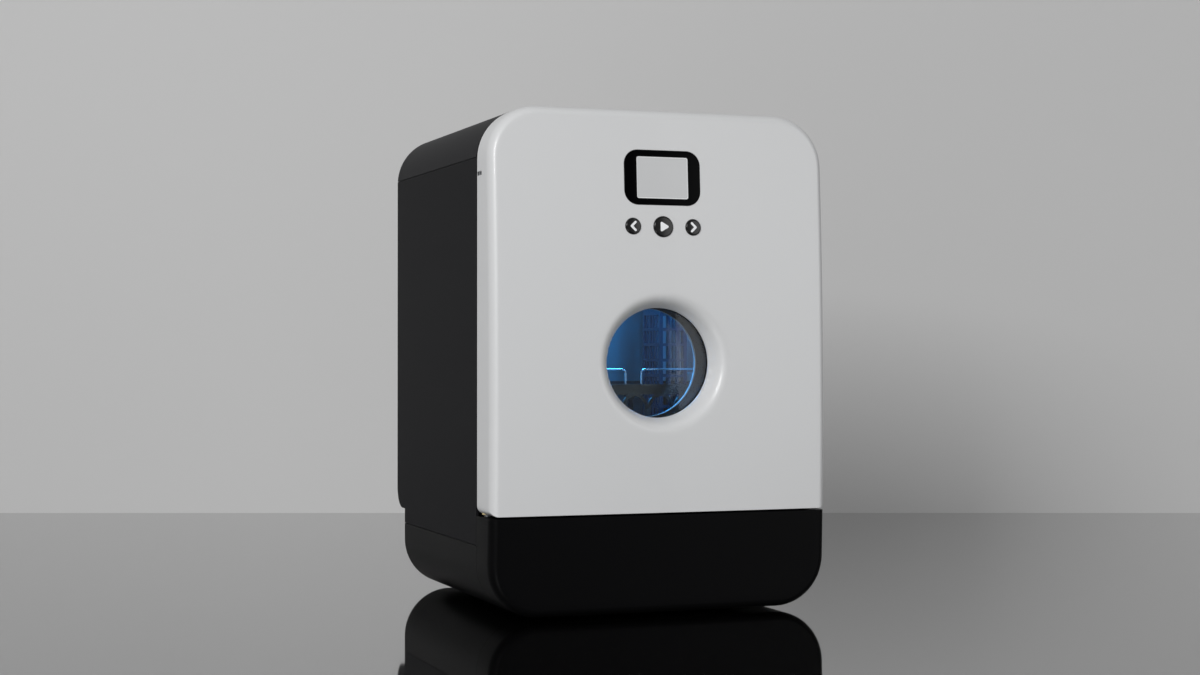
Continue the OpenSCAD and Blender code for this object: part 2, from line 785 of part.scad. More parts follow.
drain_face_x = sump_r + 20;
drain_volute_l = 20;
drain_motor_r = 15;
drain_motor_x0 = drain_face_x + drain_volute_l;
drain_motor_x1 = drain_motor_x0 + 40;
drain_shaft_r = 2;
spigot_x = drain_face_x + drain_volute_l / 2;
module drain_pump_housing() {
    color("#2f3135") difference() {
        union() {
            rod_x(drain_pump_r, drain_face_x, drain_motor_x0, 0, port_z);
            rod_x(7, sump_r + 14, drain_face_x + 1, 0, port_z);
            rod_y(spigot_r, 0, drain_pump_r + 12, spigot_x, port_z);
            rod_x(drain_motor_r, drain_motor_x0, drain_motor_x1, 0, port_z);
        }
        rod_x(drain_pump_r - 3, drain_face_x + 3, drain_motor_x0 - 3, 0, port_z);
        rod_x(5, sump_r + 13, drain_face_x + 4, 0, port_z);
        rod_y(spigot_r - 2, drain_pump_r - 5, drain_pump_r + 13, spigot_x, port_z);
        rod_x(drain_shaft_r + run, drain_motor_x0 - 4, drain_motor_x1 - 6, 0, port_z);
    }
}

module drain_impeller() {
    color("#d8d4c8") mirror([1, 0, 0]) impeller(-drain_motor_x0 + 5, -drain_face_x - 6, drain_pump_r - 5,
        drain_shaft_r, -drain_motor_x1 + 8, port_z, 4);
}

// Quarter bend of a hose: from straight down at the origin to straight out along +X
module bend(bend_r, r, bore) {
    translate([bend_r, 0, 0]) rotate([90, 0, 0]) rotate([0, 0, 180]) rotate_extrude(angle = 90)
        translate([bend_r, 0]) difference() {
            circle(r);
            circle(bore);
        }
}

hose_wall = 2.5;
module sleeve_x(r, x0, x1, z) {
    difference() {
        rod_x(r + hose_wall, x0, x1, 0, z);
        rod_x(r, x0 - 1, x1 + 1, 0, z);
    }
}

module pump_hoses() {
    color("#1a1a1a") {
        // Delivery, suction and drain sleeves between the sump and the pumps
        sleeve_x(6, wash_face_x + 3, -16, deliver_z);
        sleeve_x(8, -sump_r - 20, -sump_r - 8, wash_pump_z);
        sleeve_x(7, sump_r + 7, drain_face_x - 1, port_z);
        difference() {
            rod_y(spigot_r + hose_wall, drain_pump_r + 3, base_rear_y - skin - 5, spigot_x, port_z);
            rod_y(spigot_r, drain_pump_r + 2, base_rear_y - skin - 4, spigot_x, port_z);
        }
    }
}

supply_z = sump_z0 + 14;
supply_bend = 16;
supply_y = tank_y0 + 13;
inlet_x = 45;
inlet_z = tray_floor + inlet_r + 12;
module water_hoses() {
    color("#d8dde0") {
        difference() {
            rod_z(7 + hose_wall, supply_z + supply_bend, tank_z0, 0, supply_y);
            rod_z(7, supply_z + supply_bend - 1, tank_z0 + 1, 0, supply_y);
        }
        translate([0, supply_y, supply_z + supply_bend]) rotate([0, 0, -90])
            bend(supply_bend, 7 + hose_wall, 7);
        difference() {
            rod_y(7 + hose_wall, sump_r + 3, supply_y - supply_bend, 0, supply_z);
            rod_y(7, sump_r + 2, supply_y - supply_bend + 1, 0, supply_z);
        }
        difference() {
            rod_z(5 + hose_wall, inlet_z + inlet_body + 2, tank_z0, inlet_x, supply_y);
            rod_z(5, inlet_z + inlet_body + 1, tank_z0 + 1, inlet_x, supply_y);
        }
    }
}

collar_t = 2.5;
module drain_spigot() {
    color("#2f3135") difference() {
        union() {
            rod_y(spigot_r, base_rear_y - skin - 16, base_rear_y + spigot_len, spigot_x, port_z);
            rod_y(spigot_r + 5, base_rear_y, base_rear_y + collar_t, spigot_x, port_z);
        }
        rod_y(spigot_r - 2, base_rear_y - skin - 17, base_rear_y + spigot_len + 1, spigot_x, port_z);
    }
}

inlet_body = 16;
module inlet_valve() {
    color("#c7c9cc") difference() {
        union() {
            block([inlet_x - 16, supply_y - 14, inlet_z - inlet_body],
                [inlet_x + 16, base_rear_y - skin, inlet_z + inlet_body]);
            rod_y(inlet_r, base_rear_y - skin - 1, base_rear_y + spigot_len - 4, inlet_x, inlet_z);
            rod_y(inlet_r + 3, base_rear_y, base_rear_y + collar_t, inlet_x, inlet_z);
            rod_z(5, inlet_z + inlet_body - 1, inlet_z + inlet_body + 8, inlet_x, supply_y);
        }
        rod_y(inlet_r - 3.5, base_rear_y, base_rear_y + spigot_len, inlet_x, inlet_z);
        rod_z(3.5, inlet_z + inlet_body - 3, inlet_z + inlet_body + 9, inlet_x, supply_y);
    }
}

gland_x = -90;
gland_z = 42;
module cord_gland() {
    color("#1a1a1a") difference() {
        union() {
            rod_y(gland_bore_r + 3, base_rear_y - skin - 6, base_rear_y + 12, gland_x, gland_z);
            rod_y(gland_bore_r + 7, base_rear_y, base_rear_y + 4, gland_x, gland_z);
            rod_y(gland_bore_r + 6, base_rear_y - skin - 5, base_rear_y - skin, gland_x, gland_z);
        }
        rod_y(gland_bore_r, base_rear_y - skin - 7, base_rear_y + 13, gland_x, gland_z);
    }
}

neck_r = 18;
neck_h = 8;
tank_r = 20;
module tank_outline(g = 0) {
    round_rect(-tank_w / 2 + g, tank_w / 2 - g, tank_z0 + g, tank_z0 + tank_h - g, tank_r - g);
}

module water_tank() {
    color("#dfe6ea") {
        slab(tank_y0, tank_y0 + tank_wall) tank_outline();
        difference() {
            union() {
                slab(tank_y0 + tank_wall + joint, tank_y1) tank_outline();
                rod_z(neck_r, tank_z0 + tank_h - 1, tank_z0 + tank_h + neck_h, 0, tank_mid_y);
                for (s = [-1, 1]) block([s * 80 - 12, base_rear_y + slip, bulge_z + skin],
                    [s * 80 + 12, base_rear_y + slip + 10, tank_z0 + 1]);
                rod_z(7, tank_z0 - 8, tank_z0 + 1, 0, supply_y);
                rod_z(5, tank_z0 - 8, tank_z0 + 1, inlet_x, supply_y);
            }
            slab(tank_y0, tank_y1 - tank_wall) tank_outline(tank_wall);
            rod_z(neck_r - tank_wall, tank_z0 + tank_h - 5, tank_z0 + tank_h + neck_h + 1, 0, tank_mid_y);
            rod_z(5, tank_z0 - 9, tank_z0 + 3, 0, supply_y);
            rod_z(3.5, tank_z0 - 9, tank_z0 + 3, inlet_x, supply_y);
        }
    }
}

module fill_funnel() {
    top = body_h - lid_t - slip;
    r = neck_r - tank_wall - slip;
    color("#e9ecee") difference() {
        union() {
            block([-lid_w / 2 - 6, lid_y0 - 5, top - 2.5], [lid_w / 2 + 6, lid_y1 + 5, top]);
            rod_z(r, tank_z0 + tank_h - 3, top - 1, 0, tank_mid_y);
            rod_z(neck_r + 3, tank_z0 + tank_h + neck_h, tank_z0 + tank_h + neck_h + 3, 0, tank_mid_y);
        }
        rod_z(r - 2, tank_z0 + tank_h - 4, top + 1, 0, tank_mid_y);
    }
}

module fill_lid() {
    lid_z = body_h - lid_t / 2;
    hinge_line = lid_y1 - lid_t / 2;
    color("#333335") {
        block([-lid_w / 2, lid_y0, body_h - lid_t], [lid_w / 2, hinge_line, body_h]);
        rod_x(lid_t / 2, -lid_w / 2, lid_w / 2, hinge_line, lid_z);
        rod_x(lid_pin_r, -lid_w / 2 - 3.5, lid_w / 2 + 3.5, hinge_line, lid_z);
    }
}

fan_z0 = tub_roof_z;
fan_h = 40;
module fan_housing() {
    color("#3a3c40") difference() {
        union() {
            rod_z(fan_r, fan_z0, fan_z0 + fan_h, fan_x, fan_y);
            rod_z(fan_r + 4, fan_z0, fan_z0 + 3, fan_x, fan_y);
            block([fan_x - 13, fan_y, fan_z0 + 6], [fan_x + 13, fan_y + fan_r + 26, fan_z0 + 34]);
        }
        block([fan_x - 11, fan_y + 14, fan_z0 + 8], [fan_x + 11, fan_y + fan_r + 27, fan_z0 + 32]);
        difference() {
            rod_z(fan_r - 2.5, fan_z0 + 3, fan_z0 + fan_h - 2.5, fan_x, fan_y);
            rod_z(7, fan_z0 + 2, fan_z0 + 10, fan_x, fan_y);
        }
        rod_z(16, fan_z0 + fan_h - 3, fan_z0 + fan_h + 1, fan_x, fan_y);
        rod_z(2 + run, fan_z0 + 2, fan_z0 + 11, fan_x, fan_y);
        rod_z(8, fan_z0 - 1, fan_z0 + 4, fan_x, fan_y - 21);
    }
}

module fan_rotor() {
    r = fan_r - 6;
    color("#8f9296") translate([fan_x, fan_y, 0]) {
        rod_z(2, fan_z0 + 3, fan_z0 + 14, 0, 0);
        rod_z(r, fan_z0 + 11, fan_z0 + 13, 0, 0);
        for (a = [0 : 24 : 336]) rotate([0, 0, a])
            block([r - 7, -0.8, fan_z0 + 12], [r - 0.5, 0.8, fan_z0 + fan_h - 6]);
        difference() {
            rod_z(r, fan_z0 + fan_h - 8, fan_z0 + fan_h - 6, 0, 0);
            rod_z(r - 5, fan_z0 + fan_h - 9, fan_z0 + fan_h - 5, 0, 0);
        }
    }
}

module power_board() {
    z = tub_roof_z + 10;
    color("#2d6a45") {
        block([board_x[0], board_y[0], z], [board_x[1], board_y[1], z + 1.6]);
        block([board_x[0] + 8, board_y[0] + 8, z + 1.6], [board_x[0] + 34, board_y[0] + 40, z + 22]);
        block([board_x[0] + 44, board_y[0] + 10, z + 1.6], [board_x[0] + 62, board_y[0] + 30, z + 15]);
        for (i = [0 : 2]) rod_z(6, z + 1.6, z + 20, board_x[1] - 14, board_y[0] + 14 + 18 * i);
        for (i = [0 : 4]) block([board_x[0] + 12 + 14 * i, board_y[1] - 12, z + 1.6],
            [board_x[0] + 22 + 14 * i, board_y[1] - 3, z + 11]);
    }
}

// Latch at the right of the mouth

latch_x = tub_w / 2 + 13;
latch_y1 = tub_y0 + 32;
pawl_y = tub_y0 + 20;
pawl_z = latch_z + 20;
strike_h = 12;
module latch_housing() {
    color("#2a2b2e") {
        difference() {
            block([latch_x - 8, tub_y0 + tub_wall + slip, latch_z - 14], [latch_x + 8, latch_y1, latch_z + 31]);
            block([latch_x - 5, tub_y0, latch_z - 11], [latch_x + 5, latch_y1 - 3, latch_z + 28]);
        }
        rod_x(2, latch_x - 6, latch_x + 6, pawl_y, pawl_z);
    }
}

module latch_pawl() {
    tip = latch_z + strike_h / 2 + slip;
    color("#c8a24a") difference() {
        side_slab(latch_x - 2.5, latch_x + 2.5) {
            translate([pawl_y, pawl_z]) circle(5);
            polygon([[pawl_y - 1, pawl_z + 4.5], [pawl_y - 15, tip + 5], [pawl_y - 15, tip], [pawl_y - 10, tip],
                [pawl_y + 1, pawl_z - 4.5]]);
        }
        rod_x(2 + run, latch_x - 4, latch_x + 4, pawl_y, pawl_z);
    }
}

module door_strike() {
    h = strike_h / 2;
    color("#b9bcc2") side_slab(latch_x - 1, latch_x + 1) difference() {
        translate([door_back_y, latch_z - h]) square([pawl_y - 4 - door_back_y, strike_h]);
        translate([pawl_y - 11, latch_z - h + 3]) square([4, strike_h - 6]);
    }
    color("#b9bcc2")
        block([latch_x - 6, door_back_y, latch_z - 12], [latch_x + 6, door_back_y + 1.5, latch_z + 12]);
}

// Hinge

arm_half = 3.5;
module hinge_brackets() {
    z0 = hinge_arm_z - hinge_arm_t / 2;
    z1 = hinge_arm_z + hinge_arm_t / 2;
    color("#aeb2b8") {
        // Upper arm, bent down behind the front frame
        difference() {
            union() {
                block([hinge_x - arm_half, hinge_y, z0], [hinge_x + arm_half, cab_y, z1]);
                rod_z(arm_half, z0, z1, hinge_x, hinge_y);
                block([hinge_x - arm_half, cab_y - 1.2, z0 - 22], [hinge_x + 12, cab_y, z1]);
            }
        }
        rod_z(hinge_pin_r, z0 - 18, z0, hinge_x, hinge_y);
        rod_z(hinge_pin_r, plinth_top - 10, door_base_z + 14, hinge_x, hinge_y);
    }
}

bush_r = 5;
bush_h = 14;
bush_top_z = hinge_arm_z - hinge_arm_t / 2 - 0.5;
module hinge_bushes() {
    color("#c9b27a") for (z = [door_base_z, bush_top_z - bush_h]) difference() {
        rod_z(bush_r, z, z + bush_h, hinge_x, hinge_y);
        rod_z(hinge_pin_r + run, z - 1, z + bush_h + 1, hinge_x, hinge_y);
    }
}

// Door

dish_steps = 10;
module dish_cut() {
    r1 = window_r + dish_w;
    profile = concat(
        [[0, dish_depth - door_depth - 1], [window_r, dish_depth - door_depth - 1]],
        [for (i = [0 : dish_steps]) let (t = i / dish_steps)
            [window_r + dish_w * t, -dish_depth * pow(1 - t, 2) + (t == 1 ? 0.01 : 0)]],
        [[r1, over], [0, over]]
    );
    translate([0, front_y, window_z]) rotate([90, 0, 0]) rotate_extrude($fn = 120) polygon(profile);
}

module button_holes() {
    at_front(0, button_z) {
        front_rod(play_r + button_play, -over, door_wall + 6);
        for (s = [-1, 1]) translate([s * button_pitch, 0, 0])
            front_rod(step_r + button_play, -over, door_wall + 6);
    }
}

board_depth = 16;
board_w = 104;
board_h = 96;
board_mid_z = body_h - 85;
module at_board() {
    at_front(0, board_mid_z) children();
}

module board_stems() {
    at_board() for (x = [-board_w / 2 + 5, board_w / 2 - 5], z = [-board_h / 2 + 5, board_h / 2 - 5])
        translate([x, 0, z]) front_rod(3, 2, board_depth);
}

grip_r = 13;
module grip_cut() {
    translate([side_x + 3, door_back_y + 3, grip_z - grip_len / 2]) {
        cylinder(r = grip_r, h = grip_len);
        sphere(grip_r);
        translate([0, 0, grip_len]) sphere(grip_r);
    }
}

module door_outer() {
    difference() {
        front_form(door_back_y);
        block([-side_x - over, front_y - over, 0], [side_x + over, 0, door_base_z]);
        for (s = [-1, 1]) mirror([s < 0 ? 1 : 0, 0, 0]) slab(front_y - 1, door_back_y + 1)
            translate([side_x - door_corner_r, door_base_z - 1]) difference() {
                square([door_corner_r + over, door_corner_r + 1]);
                translate([0, door_corner_r + 1]) circle(door_corner_r);
            }
        // Rear edge rounded about the hinge axis, so that it clears the cabinet as the door turns
        difference() {
            block([-side_x - over, hinge_y, 0], [hinge_x, door_back_y + 1, body_h + over]);
            rod_z(hinge_in, -1, body_h + over + 1, hinge_x, hinge_y);
        }
    }
}

module door_shell() {
    color("#e6e7e8") {
        difference() {
            door_outer();
            difference() {
                intersection() {
                    front_room(panel_y + 0.01);
                    block([-side_x, front_y, door_base_z + door_wall], [side_x, cab_y, body_h]);
                }
                // Column at the hinge, block behind the grip, and ring behind the window
                block([-side_x, hinge_y - hinge_in, 0], [hinge_x + hinge_in, door_back_y, body_h]);
                block([side_x - grip_r - 1, door_back_y - grip_r + 1, grip_z - grip_len / 2 - grip_r - 3],
                    [side_x, door_back_y, grip_z + grip_len / 2 + grip_r + 3]);
                rod_y(window_r + dish_w + 3, front_y, pane_y, 0, window_z);
                board_stems();
                for (p = door_screw_spots) rod_y(4, front_y, panel_y, p[0], p[1]);
            }
            for (p = door_screw_spots) rod_y(1.4, panel_y - 10, panel_y + 1, p[0], p[1]);
            // Rebate for the inner panel
            intersection() {
                slab(panel_y, cab_y) face_outline(door_wall);
                block([hinge_x + hinge_in, front_y, door_base_z + door_wall],
                    [side_x - grip_r - 1, cab_y, body_h]);
            }
            dish_cut();
            button_holes();
            at_front(0, bezel_z) {
                front_plate(bezel_w + 2 * slip, bezel_h + 2 * slip, bezel_r + slip, -over, 1.8);
                front_plate(bezel_w - 12, bezel_h - 8, 4, -over, door_wall + 6);
            }
            grip_cut();
            for (z = [door_base_z, bush_top_z - bush_h]) rod_z(bush_r, z - 1, z + bush_h, hinge_x, hinge_y);
            rod_z(hinge_pin_r + 3 * run, 0, bush_top_z, hinge_x, hinge_y);
            // Slit for the upper hinge arm
            rod_z(norm([arm_half, hinge_in]) + 1.7, hinge_arm_z - hinge_arm_t / 2 - 0.5,
                hinge_arm_z + hinge_arm_t / 2 + 0.5, hinge_x, hinge_y);
        }
    }
}

module plug_outline(g = 0) {
    mouth_outline(-plug_gap - g);
}

module door_inner_panel() {
    left = hinge_x + hinge_in + slip;
    right = side_x - grip_r - 1 - slip;
    color("#dcdee0") difference() {
        union() {
            intersection() {
                slab(panel_y, door_back_y) face_outline(door_wall + slip);
                block([left, front_y, door_base_z + door_wall + slip], [right, 0, body_h]);
            }
            slab(door_back_y - 1, plug_y) plug_outline();
        }
        slab(panel_y - 1, plug_y - panel_t) plug_outline(panel_t);
        rod_y(window_r, plug_y - panel_t - 1, plug_y + 1, 0, window_z);
        slab(plug_y - panel_t - 1, plug_y + 1)
            round_rect(cell_x0 - slip, cell_x1 + slip, cell_z0 - slip, cell_z1 + slip, 3 + slip);
        for (p = door_screw_spots) rod_y(1.6, panel_y - 1, door_back_y + 1, p[0], p[1]);
    }
}

door_screw_spots = [for (s = [-1, 1], z = [mouth_z0 + 60, mouth_z1 - 40]) [s * (mouth_x + 9), z]];
module door_screws() {
    color("#9b9ea3") for (p = door_screw_spots) {
        rod_y(2.5, door_back_y, door_back_y + 1.6, p[0], p[1]);
        rod_y(1.4, panel_y - 8, door_back_y + 0.5, p[0], p[1]);
    }
}

module window_panes() {
    color("#a9c4d4", 0.35) for (y = [pane_y, inner_pane_y])
        rod_y(window_r + pane_lap, y, y + pane_t, 0, window_z);
}

module window_tunnel() {
    color("#17181a") difference() {
        union() {
            rod_y(window_r + tunnel_wall, tunnel_y0, inner_pane_y, 0, window_z);
            rod_y(window_r + pane_lap + 2, tunnel_y0, tunnel_y0 + 2, 0, window_z);
            rod_y(window_r + pane_lap, inner_pane_y - 2, inner_pane_y, 0, window_z);
        }
        rod_y(window_r, tunnel_y0 - 1, inner_pane_y + 1, 0, window_z);
    }
}

module display_bezel() {
    color("#050506") at_front(0, bezel_z) difference() {
        union() {
            front_plate(bezel_w, bezel_h, bezel_r, -0.4, 1.8);
            front_plate(bezel_w - 13, bezel_h - 9, 3.5, 1, 8);
        }
        front_plate(screen_w, screen_h, 2, -2, 9);
    }
}

module display_screen() {
    color("#cfd1d3") at_front(0, bezel_z) front_plate(screen_w - 0.1, screen_h - 0.1, 2, 0.2, 7);
}

module control_board() {
    color("#2d6a45") at_board()
        slab(board_depth, board_depth + 1.6) square([board_w, board_h], center = true);
    color("#3a3c40") at_front(0, button_z) for (s = [-1, 0, 1]) translate([s * button_pitch, 0, 0])
        slab(button_back + button_travel + 0.4, board_depth + 0.3) square([6, 6], center = true);
    color("#3a3c40") at_front(0, bezel_z) slab(8.4, board_depth + 0.3) square([50, 30], center = true);
}

face_t = door_wall + 1;
button_back = 10;
button_travel = 1.2;
module button(r) {
    color("#0b0b0c") {
        front_rod(r - 0.6, -button_proud, 0);
        front_rod(r, -button_proud + 0.6, face_t + 0.5);
        front_rod(r + 1.6, face_t + slip, face_t + 1.5);
        front_rod(2.5, face_t + 1, button_back);
    }
}

module back_button() {
    at_front(0, button_z) translate([-button_pitch, 0, 0]) button(step_r);
}

module play_button() {
    at_front(0, button_z) button(play_r);
}

module next_button() {
    at_front(0, button_z) translate([button_pitch, 0, 0]) button(step_r);
}

// Detergent dispenser on the inner panel

cell_x0 = -50;
cell_x1 = 45;
cell_z0 = mouth_z0 + 18;
cell_z1 = cell_z0 + cell_h;
cell_mid = -6;
lid_slide = cell_x1 - 6 - cell_mid;
module detergent_dispenser() {
    color("#cfd2d5") difference() {
        slab(plug_y - cell_depth, plug_y) round_rect(cell_x0, cell_x1, cell_z0, cell_z1, 3);
        block([cell_x0 + 4, plug_y - cell_depth + 3, cell_z0 + 4], [cell_mid - 2, plug_y + 1, cell_z1 - 4]);
        block([cell_x0 + 2, plug_y - 3.2, cell_z0 + 2], [cell_x1 - 2, plug_y - 1, cell_z1 - 2]);
        block([cell_x0 + 2, plug_y - 2, cell_z0 + 4], [cell_x1 - 2, plug_y + 1, cell_z1 - 4]);
    }
}

module dispenser_lid() {
    color("#8a8e94") {
        block([cell_x0 + 2.5, plug_y - 3, cell_z0 + 2.4], [cell_mid, plug_y - 1.3, cell_z1 - 2.4]);
        block([cell_mid - 8, plug_y - 1.5, cell_z0 + 12], [cell_mid - 4, plug_y, cell_z1 - 12]);
    }
}

// Rack

// One arch between the rack floor and the rim
module arch() {
    outer = arch_pitch / 2;
    mid = rim_bottom - outer + 1;
    difference() {
        union() {
            translate([0, mid]) circle(outer);
            translate([-outer, floor_z]) square([2 * outer, mid - floor_z]);
        }
        translate([0, mid]) circle(outer - arch_band / 2);
        translate([-outer + arch_band / 2, floor_z - 1])
            square([2 * outer - arch_band, mid - floor_z + 1]);
    }
}

// A row of arches about its middle, ending at the corner posts
module arch_row(span) {
    half = span / 2 - arch_band - joint;
    side_arches = ceil((half - arch_pitch / 2) / arch_pitch);
    intersection() {
        for (i = [-side_arches : side_arches]) translate([i * arch_pitch, 0]) arch();
        translate([-half, floor_z + floor_t]) square([2 * half, rim_bottom - floor_z - floor_t]);
    }
}

rack_wall = 3;
module rack_walls() {
    hx = rack_w / 2;
    color("#141416") {
        slab(rack_y0, rack_y0 + rack_wall) arch_row(rack_w);
        slab(rack_y1 - rack_wall, rack_y1) arch_row(rack_w);
        for (x = [-hx, hx - rack_wall]) side_slab(x, x + rack_wall)
            translate([(rack_y0 + rack_y1) / 2, 0]) arch_row(rack_d);
        for (x = [-hx, hx - arch_band], y = [rack_y0, rack_y1 - arch_band])
            block([x, y, floor_z + floor_t], [x + arch_band, y + arch_band, rim_bottom]);
    }
}

module rack_floor() {
    hx = rack_w / 2;
    mid_y = (rack_y0 + rack_y1) / 2;
    color("#141416") {
        difference() {
            block([-hx, rack_y0, floor_z], [hx, rack_y1, floor_z + floor_t]);
            block([-hx + arch_band, rack_y0 + arch_band, floor_z - 1],
                [hx - arch_band, rack_y1 - arch_band, floor_z + floor_t + 1]);
        }
        for (i = [-3.5 : 1 : 3.5]) block([i * arch_pitch - 1.5, rack_y0 + 1, floor_z],
            [i * arch_pitch + 1.5, rack_y1 - 1, floor_z + floor_t]);
        for (i = [-2.5 : 1 : 2.5]) block([-hx + 1, mid_y + i * arch_pitch - 1.5, floor_z],
            [hx - 1, mid_y + i * arch_pitch + 1.5, floor_z + floor_t]);
    }
}

// Rim with the shoes that run in the runners
module rack_rim() {
    hx = rack_w / 2;
    color("#141416") {
        difference() {
            block([-hx, rack_y0, rim_bottom], [hx, rack_y1, rim_top]);
            block([-hx + rim_w, rack_y0 + rim_w, rim_bottom - 1], [hx - rim_w, rack_y1 - rim_w, rim_top + 1]);
            // Channel along the front
            block([-hx - 1, rack_y0 - 1, rim_bottom + 3.5], [hx + 1, rack_y0 + 1.5, rim_top - 3.5]);
            for (x = hoop_xs) rod_z(wire_r, rim_top - 5, rim_top + 1, x, rack_y0 + rim_w / 2);
        }
        for (s = [-1, 1]) mirror([s < 0 ? 1 : 0, 0, 0])
            block([hx - 1, rack_y1 - 5 - shoe_len, rim_bottom], [hx + shoe_w, rack_y1 - 5, rim_top]);
    }
}

hoop_gap = 17;
hoop_bend = 4;
hoop_xs = [for (s = [-1, 1], x = [hoop_gap / 2, hoop_gap / 2 + hoop_w]) s * x];
module cup_hoops() {
    top = rim_top + hoop_h;
    y = rack_y0 + rim_w / 2;
    color("#d7dade") for (s = [-1, 1]) mirror([s < 0 ? 1 : 0, 0, 0]) {
        for (x = [hoop_gap / 2, hoop_gap / 2 + hoop_w]) rod_z(wire_r, rim_top - 5, top - hoop_bend, x, y);
        rod_x(wire_r, hoop_gap / 2 + hoop_bend, hoop_gap / 2 + hoop_w - hoop_bend, y, top);
        translate([hoop_gap / 2 + hoop_w - hoop_bend, y, top - hoop_bend]) rotate([90, 0, 0])
            rotate_extrude(angle = 90) translate([hoop_bend, 0]) circle(wire_r);
        translate([hoop_gap / 2 + hoop_bend, y, top - hoop_bend]) rotate([90, 0, 0]) rotate([0, 0, 90])
            rotate_extrude(angle = 90) translate([hoop_bend, 0]) circle(wire_r);
    }
}

tine_r = 1.5;
tine_h = 48;
tine_xs = [-98, -52];
tine_pitch = 20;
module plate_tines() {
    z = floor_z + floor_t + tine_r;
    y0 = rack_y0 + 12;
    n = floor((rack_d - 24) / tine_pitch);
    color("#b4b8bd") {
        for (x = tine_xs) {
            rod_y(tine_r, y0, y0 + n * tine_pitch, x, z);
            for (i = [0 : n]) {
                rod_z(tine_r, z, z + tine_h, x, y0 + i * tine_pitch);
                translate([x, y0 + i * tine_pitch, z + tine_h]) sphere(tine_r);
            }
        }
        for (i = [0, n]) rod_x(tine_r, tine_xs[0], tine_xs[1], y0 + i * tine_pitch, z);
    }
}

basket_x1 = rack_w / 2 - rim_w - 0.5;
basket_x0 = basket_x1 - basket_w;
basket_y1 = rack_y1 - rim_w - 0.5;
basket_y0 = basket_y1 - basket_d;
basket_z0 = floor_z + floor_t;
basket_wall = 1.8;
slot_h = 14;
slot_w = 6.5;
slot_bar = 2.5;
module basket_slots(x0, x1, y0, y1, along_x) {
    span = along_x ? x1 - x0 : y1 - y0;
    pitch = slot_w + slot_bar;
    n = floor((span - slot_bar) / pitch);
    start = (span - n * pitch + slot_bar) / 2;
    rows = floor((basket_h - 8) / (slot_h + 3));
    for (i = [0 : n - 1], k = [0 : rows - 1]) {
        a = start + i * pitch;
        z = basket_z0 + 6 + k * (slot_h + 3);
        if (along_x) block([x0 + a, y0, z], [x0 + a + slot_w, y1, z + slot_h]);
        else block([x0, y0 + a, z], [x1, y0 + a + slot_w, z + slot_h]);
    }
}

module cutlery_basket() {
    color("#16323f") difference() {
        block([basket_x0, basket_y0, basket_z0], [basket_x1, basket_y1, basket_z0 + basket_h]);
        block([basket_x0 + basket_wall, basket_y0 + basket_wall, basket_z0 + 2],
            [basket_x1 - basket_wall, basket_y1 - basket_wall, basket_z0 + basket_h + 1]);
        basket_slots(basket_x0, basket_x1, basket_y0 - 1, basket_y1 + 1, true);
        basket_slots(basket_x0 - 1, basket_x1 + 1, basket_y0, basket_y1, false);
    }
}

// Moving pieces of the wash chamber

module spray_arm() {
    tip = 10;
    root = 15;
    color("#c9ccd1") difference() {
        union() {
            translate([0, 0, arm_z0]) linear_extrude(arm_t) {
                polygon([[-arm_r + tip, -tip], [0, -root], [arm_r - tip, -tip],
                    [arm_r - tip, tip], [0, root], [-arm_r + tip, tip]]);
                for (s = [-1, 1]) translate([s * (arm_r - tip), 0]) circle(tip);
            }
            rod_z(16, arm_z0 - 2, arm_z0 + arm_t + 1.5, 0, 0);
        }
        rod_z(post_r + run, arm_z0 - 3, arm_z0 + arm_t + 3, 0, 0);
        for (s = [-1, 1], i = [0 : 4])
            rod_z(1.3, arm_z0 + arm_t - 2, arm_z0 + arm_t + 1, s * (30 + 16 * i), s * (i % 2 == 0 ? 5 : -5));
    }
}

cup_r = 13.5;
cup_y = -27;
module filter_cup() {
    z0 = sump_z0 + 4;
    z1 = tub_floor_z + 2;
    color("#9fa3a8") {
        difference() {
            union() {
                rod_z(cup_r, z0, z1 + 1, 0, cup_y);
                rod_z(cup_r + 3, z1 + slip, z1 + 2, 0, cup_y);
            }
            rod_z(cup_r - 1.5, z0 + 2, z1 + 3, 0, cup_y);
            for (a = [0 : 45 : 135], z = [z0 + 5 : 9 : z1 - 9]) translate([0, cup_y, z]) rotate([0, 0, a])
                block([-cup_r - 1, -2, 0], [cup_r + 1, 2, 6]);
        }
        block([-cup_r, cup_y - 1.5, z1], [cup_r, cup_y + 1.5, z1 + 8]);
    }
}

float_stem_r = 4;
module overflow_float() {
    z = tub_z0 + 7 + slip;
    color("#e9e4d4") difference() {
        union() {
            rod_z(13, tub_z0 + 1, z + 9, float_x, float_y);
            rod_z(float_stem_r, tub_floor_z - 12, z + 1, float_x, float_y);
        }
        difference() {
            rod_z(9.5, tub_z0, z, float_x, float_y);
            rod_z(float_stem_r, tub_z0 - 1, z + 1, float_x, float_y);
        }
    }
}

base_tray();
front_plinth();
side_panel(-1);  // left_side_panel
side_panel(1);  // right_side_panel
top_cover();
rear_panel();
feet();
front_frame();
door_gasket();
casing_screws();
wash_tub();
rack_runners();
sump();
spray_post();
filter_plate();
heater();
tub_lamp();
wash_pump_housing();
wash_pump_motor();
drain_pump_housing();
water_tank();
fill_funnel();
fan_housing();
power_board();
latch_housing();
hinge_brackets();
drain_spigot();
inlet_valve();
cord_gland();
pump_hoses();
water_hoses();
door_shell();
door_inner_panel();
window_panes();
window_tunnel();
display_bezel();
display_screen();
control_board();
hinge_bushes();
door_strike();
detergent_dispenser();
door_screws();
back_button();
play_button();
next_button();
rack_rim();
rack_walls();
rack_floor();
cup_hoops();
plate_tines();
cutlery_basket();
spray_arm();
wash_impeller();
drain_impeller();
fan_rotor();
fill_lid();
filter_cup();
dispenser_lid();
latch_pawl();
overflow_float();
